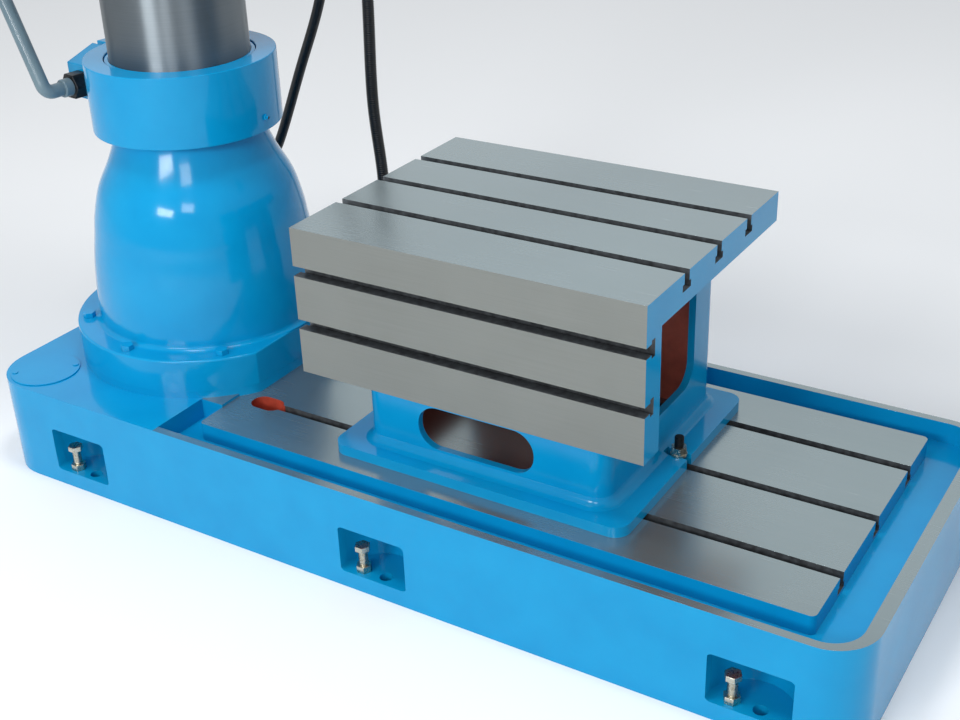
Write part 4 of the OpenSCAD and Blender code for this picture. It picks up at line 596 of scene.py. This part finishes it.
plainSolids = {  # node: (edge in mm, finish)
    "sump_cover": (1.0, "enamel"), "pedestal_bolts": (1.4, "enamel"), "clamp_ring": (4.0, "enamel"),
    "clamp_screw": (0.8, "blackOxide"), "clamp_nut": (1.6, "blackOxide"), "clamp_lever": (0.6, "greyEnamel"),
    # The column takes the darker steel, which is a painted dark reflection.
    "column": (1.0, "columnSteelPaintedDark"), "column_key": (1.0, "steel"), "levelling_screws": (1.0, "zinc"),
    "table_bolts": (0.8, "blackOxide"), "table_nuts": (0.9, "zinc"), "coolant_pump": (2.0, "enamel"),
    "pump_box": (2.0, "phenolic"), "elbow_box": (2.0, "phenolic"), "conduit_glands": (1.0, "phenolic"),
    "lift_housing": (4.0, "enamel"), "housing_lid": (2.0, "enamel"), "lift_motor": (0.8, "enamel"),
    "lift_nut": (0.8, "bronze"), "arm_rack": (0.3, "steel"), "arm_end_cover": (1.5, "enamel"),
    "cabinet": (3.0, "enamel"), "cabinet_cover": (2.5, "enamel"), "main_switch": (1.2, "phenolic"),
    "head_casting": (3.5, "enamel"), "head_keepers": (0.8, "steel"), "head_cover": (3.0, "enamel"),
    "spindle_cap": (2.0, "enamel"), "drive_motor": (0.8, "enamel"), "motor_cowl": (1.2, "enamel"),
    "motor_box": (3.0, "enamel"), "quill": (1.0, "steel"), "spindle": (0.8, "steel"),
    "button_panel": (2.0, "greyEnamel"), "start_button": (1.5, "green"), "stop_button": (1.5, "red"),
    "up_button": (1.5, "phenolic"), "down_button": (1.5, "phenolic"), "thrust_bearing": (0.4, "steel"),
    "spindle_bearings": (0.4, "steel"), "lift_gear": (0.3, "steel"), "lift_pinion": (0.3, "steel"),
    "drive_gear": (0.3, "steel"), "motor_pinion": (0.3, "steel"),
}


def byReach(point, steps):  # finish by distance in mm from a point: [(up to, finish), ...]
    return lambda c, n: next(f for reach, f in steps if (c - Vector(point) * mm).length < reach * mm)


beyond = 999  # mm, farther than any handle reaches
leverSteps = [(23, "blackOxide"), (47.5, "chrome"), (beyond, "phenolic")]
clampSteps = [(24, "blackOxide"), (105, "chrome"), (beyond, "phenolic")]
feedSteps = [(117, "chrome"), (beyond, "phenolic")]
armClampLook = {"boss": (-60, -171, 1190), "bossFrom": -0.037}
armLook = {"from": 0.2, "wayFace": 0.085, "wayBack": 0.115, "wayEdges": (1.05, 1.33)}
wheelLook = {"x": 0.492, "z": 1.26, "gripFrom": -0.2, "gripOut": 0.045, "shaftFrom": -0.18, "rimOut": 0.0535}
fineLook = {"y": -0.085, "z": 1.115, "rimOut": 0.0335}
hubBack, nippleTip = -0.169, 0.1434


def armClampFinish(c, n):
    return "blackOxide" if c.x > armClampLook["bossFrom"] else byReach(armClampLook["boss"], clampSteps)(c, n)


def wheelFinish(c, n):
    w = wheelLook
    out = math.hypot(c.x - w["x"], c.z - w["z"])
    if c.y < w["gripFrom"] and out > w["gripOut"]:
        return "phenolic"
    if c.y > w["shaftFrom"]:
        return "steel"
    return "chrome" if out > w["rimOut"] else "blackOxide"


def fineWheelFinish(c, n):
    return "chrome" if math.hypot(c.y - fineLook["y"], c.z - fineLook["z"]) > fineLook["rimOut"] else "blackOxide"


def armFinish(c, n):  # the way is bare on its face and on both edges
    a = armLook
    front = n.y < -squareOn and abs(c.y - a["wayFace"]) < touch
    edge = (abs(n.z) > squareOn and a["wayFace"] - touch < c.y < a["wayBack"] + touch
            and min(abs(c.z - z) for z in a["wayEdges"]) < touch)
    return "iron" if c.x > a["from"] and (front or edge) else "enamel"


leverFinishes = ["blackOxide", "chrome", "phenolic"]
mixedSolids = {  # node: (edge in mm, finishes, which of them a face gets)
    "oil_nipple": (0.4, ["enamel", "blackOxide"], lambda c, n: "blackOxide" if c.x > nippleTip else "enamel"),
    "arm_casting": (4.0, ["enamel", "iron"], armFinish),
    "arm_clamp": (0.8, leverFinishes, armClampFinish),
    "head_clamp": (0.8, leverFinishes, byReach((417.7, 0, 1200), clampSteps)),
    "speed_lever": (0.8, leverFinishes, byReach((612, -192.3, 1322), leverSteps)),
    "range_lever": (0.8, leverFinishes, byReach((716, -192.3, 1322), leverSteps)),
    "feed_handles": (0.5, ["chrome", "phenolic"], byReach((685, -199.3, 1115), feedSteps)),
    "feed_hub": (1.2, ["blackOxide", "steel"], lambda c, n: "steel" if c.y > hubBack else "blackOxide"),
    "fine_wheel": (2.0, ["blackOxide", "chrome"], fineWheelFinish),
    "traverse_wheel": (2.0, ["blackOxide", "chrome", "phenolic", "steel"], wheelFinish),
}


def dressSolid(node, width, names, pick=None):
    words = node.split("_")
    piece = cleanCopy(node, words[0] + "".join(w.capitalize() for w in words[1:]))
    paint(piece, names, pick)
    roundEdges(piece, width)
    standFor(piece, node)


for node, (width, finish) in plainSolids.items():
    dressSolid(node, width, [finish])
for node, look in mixedSolids.items():
    dressSolid(node, *look)
print("solids dressed:", len(plainSolids) + len(mixedSolids))

# screws, plates and other small fittings that the solids leave out, in mm


def fitting(piece, finish, body):
    paint(piece, [finish])
    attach(piece, body)


def seatAt(place, axis):  # moves a piece that stands upright on the origin to a place, along an axis
    turn = Vector((0, 0, 1)).rotation_difference(Vector(axis)).to_matrix().to_4x4()
    return Matrix.Translation(Vector(place) * mm) @ turn


def scatter(name, source, moves):  # joins one moved copy of a piece for each move
    copies = []
    for move in moves:
        copies.append(addMesh(name, source.data.copy()))
        copies[-1].data.transform(move)
    bpy.data.objects.remove(source)
    only(copies[0])
    for copy in copies:
        copy.select_set(True)
    bpy.ops.object.join()
    copies[0].name = name
    return copies[0]


# cut in mm; the shape has 0 for the root or 1 for the crest, at a share of the pitch
threadLook = {"steps": 24, "cut": 0.001, "shape": [(0, 0), (0, 0.3), (1, 0.45), (1, 0.8), (0, 0.95), (0, 1)]}


def threadBar(name, crest, root, pitch, low, high, axis):  # one turn of profile, screwed along and trimmed to length
    profile = [(crest if out else root, high + share * pitch) for out, share in threadLook["shape"]]
    bar = addOutline(name, profile, False)
    bpy.ops.object.mode_set(mode="EDIT")
    bpy.ops.mesh.select_all(action="SELECT")
    bpy.ops.mesh.screw(steps=threadLook["steps"], turns=int((high - low) / pitch) + 2, center=(0, 0, 0), axis=axis)
    bpy.ops.mesh.select_all(action="SELECT")
    bpy.ops.mesh.remove_doubles(threshold=weld)
    bpy.ops.mesh.normals_make_consistent(inside=False)
    for height, side in ((high, 1), (low, -1)):
        bpy.ops.mesh.select_all(action="SELECT")
        bpy.ops.mesh.bisect(plane_co=(0, 0, height * mm), plane_no=(0, 0, side), use_fill=True, clear_outer=True,
                            threshold=threadLook["cut"] * mm)
    bpy.ops.object.mode_set(mode="OBJECT")
    bpy.ops.object.shade_smooth_by_angle(angle=smoothTo)
    return bar


rightHand, leftHand = (0, 0, -1), (0, 0, 1)
threads = {  # crest and root radius, pitch, lowest and highest point, hand, body, finish, places
    "liftScrew": (16.0, 13.6, 12.0, 770.0, 1714.0, leftHand, "lift_screw", "greased", [(-136.83, 79.0)]),
    "levelThreads": (6.4, 5.8, 1.75, 35.2, 57.8, rightHand, "base", "zinc",
                     [(x, y) for x in (-68.5, 466.5, 992.5) for y in (-262.0, 262.0)]),
    "studThreads": (6.35, 5.8, 1.75, 176.2, 190.0, rightHand, "table", "blackOxide", [(389.5, 0.0), (801.5, 0.0)]),
}
for name, (crest, root, pitch, low, high, hand, body, finish, places) in threads.items():
    bar = threadBar(name, crest, root, pitch, low, high, hand)
    piece = scatter(name, bar, [Matrix.Translation((x * mm, y * mm, 0)) for x, y in places])
    fitting(piece, finish, body)
    if name == "liftScrew":
        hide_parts("lift_screw")


def grid(xs, ys, zs, axis):
    return [((x, y, z), axis) for x in xs for y in ys for z in zs]


def circle(x, y, z, radius, angles, axis=None):  # without an axis each one points outwards
    rays = [(math.cos(a), math.sin(a), 0) for a in angles]
    return [((x + radius * ray[0], y + radius * ray[1], z), axis or ray) for ray in rays]


lidAngles = [math.radians(a) for a in (90, 150, 210, 270)]
cowlAngles = (0.9, 2.5, 4.0, 5.6)
screwSets = {  # heads of a set: body, finish, sides, radius, height, (place, axis) of each
    "headCoverScrews": ("head", "blackOxide", 24, 6.0, 6.0, grid((457, 600, 743), (-153, 68), (1395,), (0, 0, 1))),
    "lidScrews": ("column", "blackOxide", 24, 5.0, 5.0, circle(-136.8, 79, 1762, 67, lidAngles, (0, 0, 1))),
    "endCoverScrews": ("arm", "blackOxide", 24, 4.2, 3.6, grid((1258,), (131, 239), (1126, 1284), (1, 0, 0))),
    "cabinetScrews": ("arm", "zinc", 24, 4.2, 2.6, grid((-392,), (-111, 111), (1044, 1326), (-1, 0, 0))),
    "motorLidScrews": ("head", "zinc", 24, 3.2, 2.6, grid((802,), (-123, -51), (1431, 1485), (1, 0, 0))),
    "panelScrews": ("head", "zinc", 24, 2.8, 1.8, grid((452, 520), (-192,), (1048, 1140), (0, -1, 0))),
    "keeperScrews": ("head", "blackOxide", 24, 6.0, 6.0,
                     grid((470, 550, 650, 730), (135,), (1061.7, 1318.3), (0, 1, 0))),
    "cowlScrews": ("head", "zinc", 24, 3.6, 2.4, circle(677, -87, 1624, 79, cowlAngles)),
    "plateRivets": ("head", "zinc", 16, 1.8, 1.0, grid((659, 741), (-171.2,), (1229, 1261), (0, -1, 0))),
}
screwLook = {"rim": 0.42, "edge": 0.12, "socketDepth": 0.55}  # shares of the radius, and of the height


def screwHead(sides, radius, height):
    head = addCylinder(sides, radius, 0, height)
    bpy.ops.object.mode_set(mode="EDIT")
    bpy.ops.mesh.select_mode(type="FACE")
    bpy.ops.mesh.select_all(action="DESELECT")
    bpy.ops.object.mode_set(mode="OBJECT")
    for face in head.data.polygons:
        face.select = face.normal.z > squareOn
    bpy.ops.object.mode_set(mode="EDIT")
    bpy.ops.mesh.inset(thickness=radius * screwLook["rim"] * mm)
    down = (0, 0, -height * screwLook["socketDepth"] * mm)
    bpy.ops.mesh.extrude_region_move(TRANSFORM_OT_translate={"value": down})
    bpy.ops.object.mode_set(mode="OBJECT")
    roundEdges(head, radius * screwLook["edge"], 2)
    return head


for name, (body, finish, sides, radius, height, places) in screwSets.items():
    head = screwHead(sides, radius, height)
    fitting(scatter(name, head, [seatAt(place, axis) for place, axis in places]), finish, body)

slabs = {  # flat fittings: body, finish, lowest and highest corner, edge
    "motorLid": ("head", "enamel", (798, -130, 1425), (802, -44, 1491), 1.6),
    "barePlate": ("head", "plate", (655, -171.2, 1225), (745, -170, 1265), 0.4),
}


def addSlab(name, body, finish, low, high, edge):
    bpy.ops.object.select_all(action="DESELECT")
    bpy.ops.mesh.primitive_cube_add(size=1, location=[(a + b) / 2 * mm for a, b in zip(low, high)])
    slab = bpy.context.object
    slab.name = name
    slab.scale = [(b - a) * mm for a, b in zip(low, high)]
    bpy.ops.object.transform_apply(location=True, scale=True)
    roundEdges(slab, edge, 3)
    fitting(slab, finish, body)


for name, look in slabs.items():
    addSlab(name, *look)

turnedSteps, axisGap = 64, 0.01  # a profile that would reach the axis stops this far from it
hingeShape = [(axisGap, 0), (5, 0), (6, 1), (6, 39), (5, 40), (axisGap, 40)]
bezelShape = [(12.3, 0), (15.5, 0), (15.5, 2), (14.2, 3.4), (12.3, 3.4)]
turned = {  # turned fittings: body, finish, place, axis, closed profile of (radius, height)
    "sightBezel": ("head", "chrome", (600, -170, 1225), (0, -1, 0),
                   [(17, 0), (17, 3.6), (15.4, 5.6), (12.6, 5.6), (11, 4), (11, 0)]),
    "sightGlass": ("head", "oilGlass", (600, -170, 1225), (0, -1, 0),
                   [(axisGap, 0), (10.9, 0), (10.9, 3.0), (7, 4.0), (axisGap, 4.3)]),
    "feedDial": ("feed_capstan", "plate", (685, -171, 1115), (0, -1, 0),
                 [(40.3, 0), (50, 0), (50, 11), (48, 13), (40.3, 13)]),
    "spindleGuard": ("head", "rubber", (600, 0, 1395), (0, 0, 1),
                     [(30.2, 0), (36, 0), (36, 4), (33, 7), (30.2, 7)]),
    "leverCollar": ("column_lever", "greyEnamel", (-179.6, -56.6, 551), (-0.1392, -0.9903, 0),
                    [(10.6, 0), (13.6, 0), (13.6, 12.5), (12.6, 14), (10.6, 14)]),
    "cabinetLock": ("arm", "chrome", (-392, -104, 1185), (-1, 0, 0),
                    [(axisGap, 0), (12, 0), (12, 3), (10, 5), (4, 5), (3, 3.4), (axisGap, 3.4)]),
    "switchRing": ("arm", "plate", (-286, -135, 1240), (0, -1, 0),
                   [(33, 0), (43, 0), (43, 1.0), (42.6, 1.4), (33, 1.4)]),
    "pumpBand": ("base", "zinc", (-160, 222, 285), (0, 0, 1), [(46.1, 0), (47.2, 0), (47.2, 12), (46.1, 12)]),
}
for i, z in enumerate((1075, 1275)):
    turned["cabinetHinge" + str(i)] = ("arm", "zinc", (-389, 137, z), (0, 0, 1), hingeShape)
for i, (x, z) in enumerate(((467, 1113), (505, 1113), (467, 1075), (505, 1075))):
    turned["buttonBezel" + str(i)] = ("head", "chrome", (x, -192, z), (0, -1, 0), bezelShape)
for name, (body, finish, place, axis, profile) in turned.items():
    piece = lathe(name, profile, turnedSteps)
    piece.data.transform(seatAt(place, axis))
    fitting(piece, finish, body)

wiperLook = {"inner": 102.0, "outer": 122.0, "rim": 4.0, "lip": 9.0, "height": 7.0, "steps": 120, "turn": 344,
             "from": 98, "top": 1380, "foot": 1000}


def addWiper(name, w, height, up):
    rim, lip = w["rim"] * up, w["height"] * up
    profile = [(w["inner"], 0), (w["outer"], 0), (w["outer"], rim), (w["inner"] + w["lip"], lip), (w["inner"], lip)]
    ring = lathe(name, profile, w["steps"], w["turn"])
    turn = Matrix.Rotation(math.radians(w["from"]), 4, "Z")
    ring.data.transform(Matrix.Translation((0, 0, height * mm)) @ turn)
    fitting(ring, "rubber", "arm")


addWiper("wiperTop", wiperLook, wiperLook["top"], 1)
addWiper("wiperFoot", wiperLook, wiperLook["foot"], -1)

dialMarks = {"place": (685, -171, 1115), "axis": (0, -1, 0), "radius": 50.0, "from": 1.0, "count": 60, "longEach": 5,
             "long": 8.0, "short": 5.0, "deep": 0.3, "wide": 0.9}


def markDial(d):
    moves = []
    for i in range(d["count"]):
        length = d["short"] if i % d["longEach"] else d["long"]
        size = Matrix.Diagonal((d["deep"] * mm, d["wide"] * mm, length * mm, 1))
        out = Matrix.Translation((d["radius"] * mm, 0, (d["from"] + length / 2) * mm))
        turn = Matrix.Rotation(2 * math.pi * i / d["count"], 4, "Z")
        moves.append(seatAt(d["place"], d["axis"]) @ turn @ out @ size)
    bpy.ops.object.select_all(action="DESELECT")
    bpy.ops.mesh.primitive_cube_add(size=1)
    fitting(scatter("feedDialMarks", bpy.context.object, moves), "whiteLine", "feed_capstan")


markDial(dialMarks)
print("small fittings added")
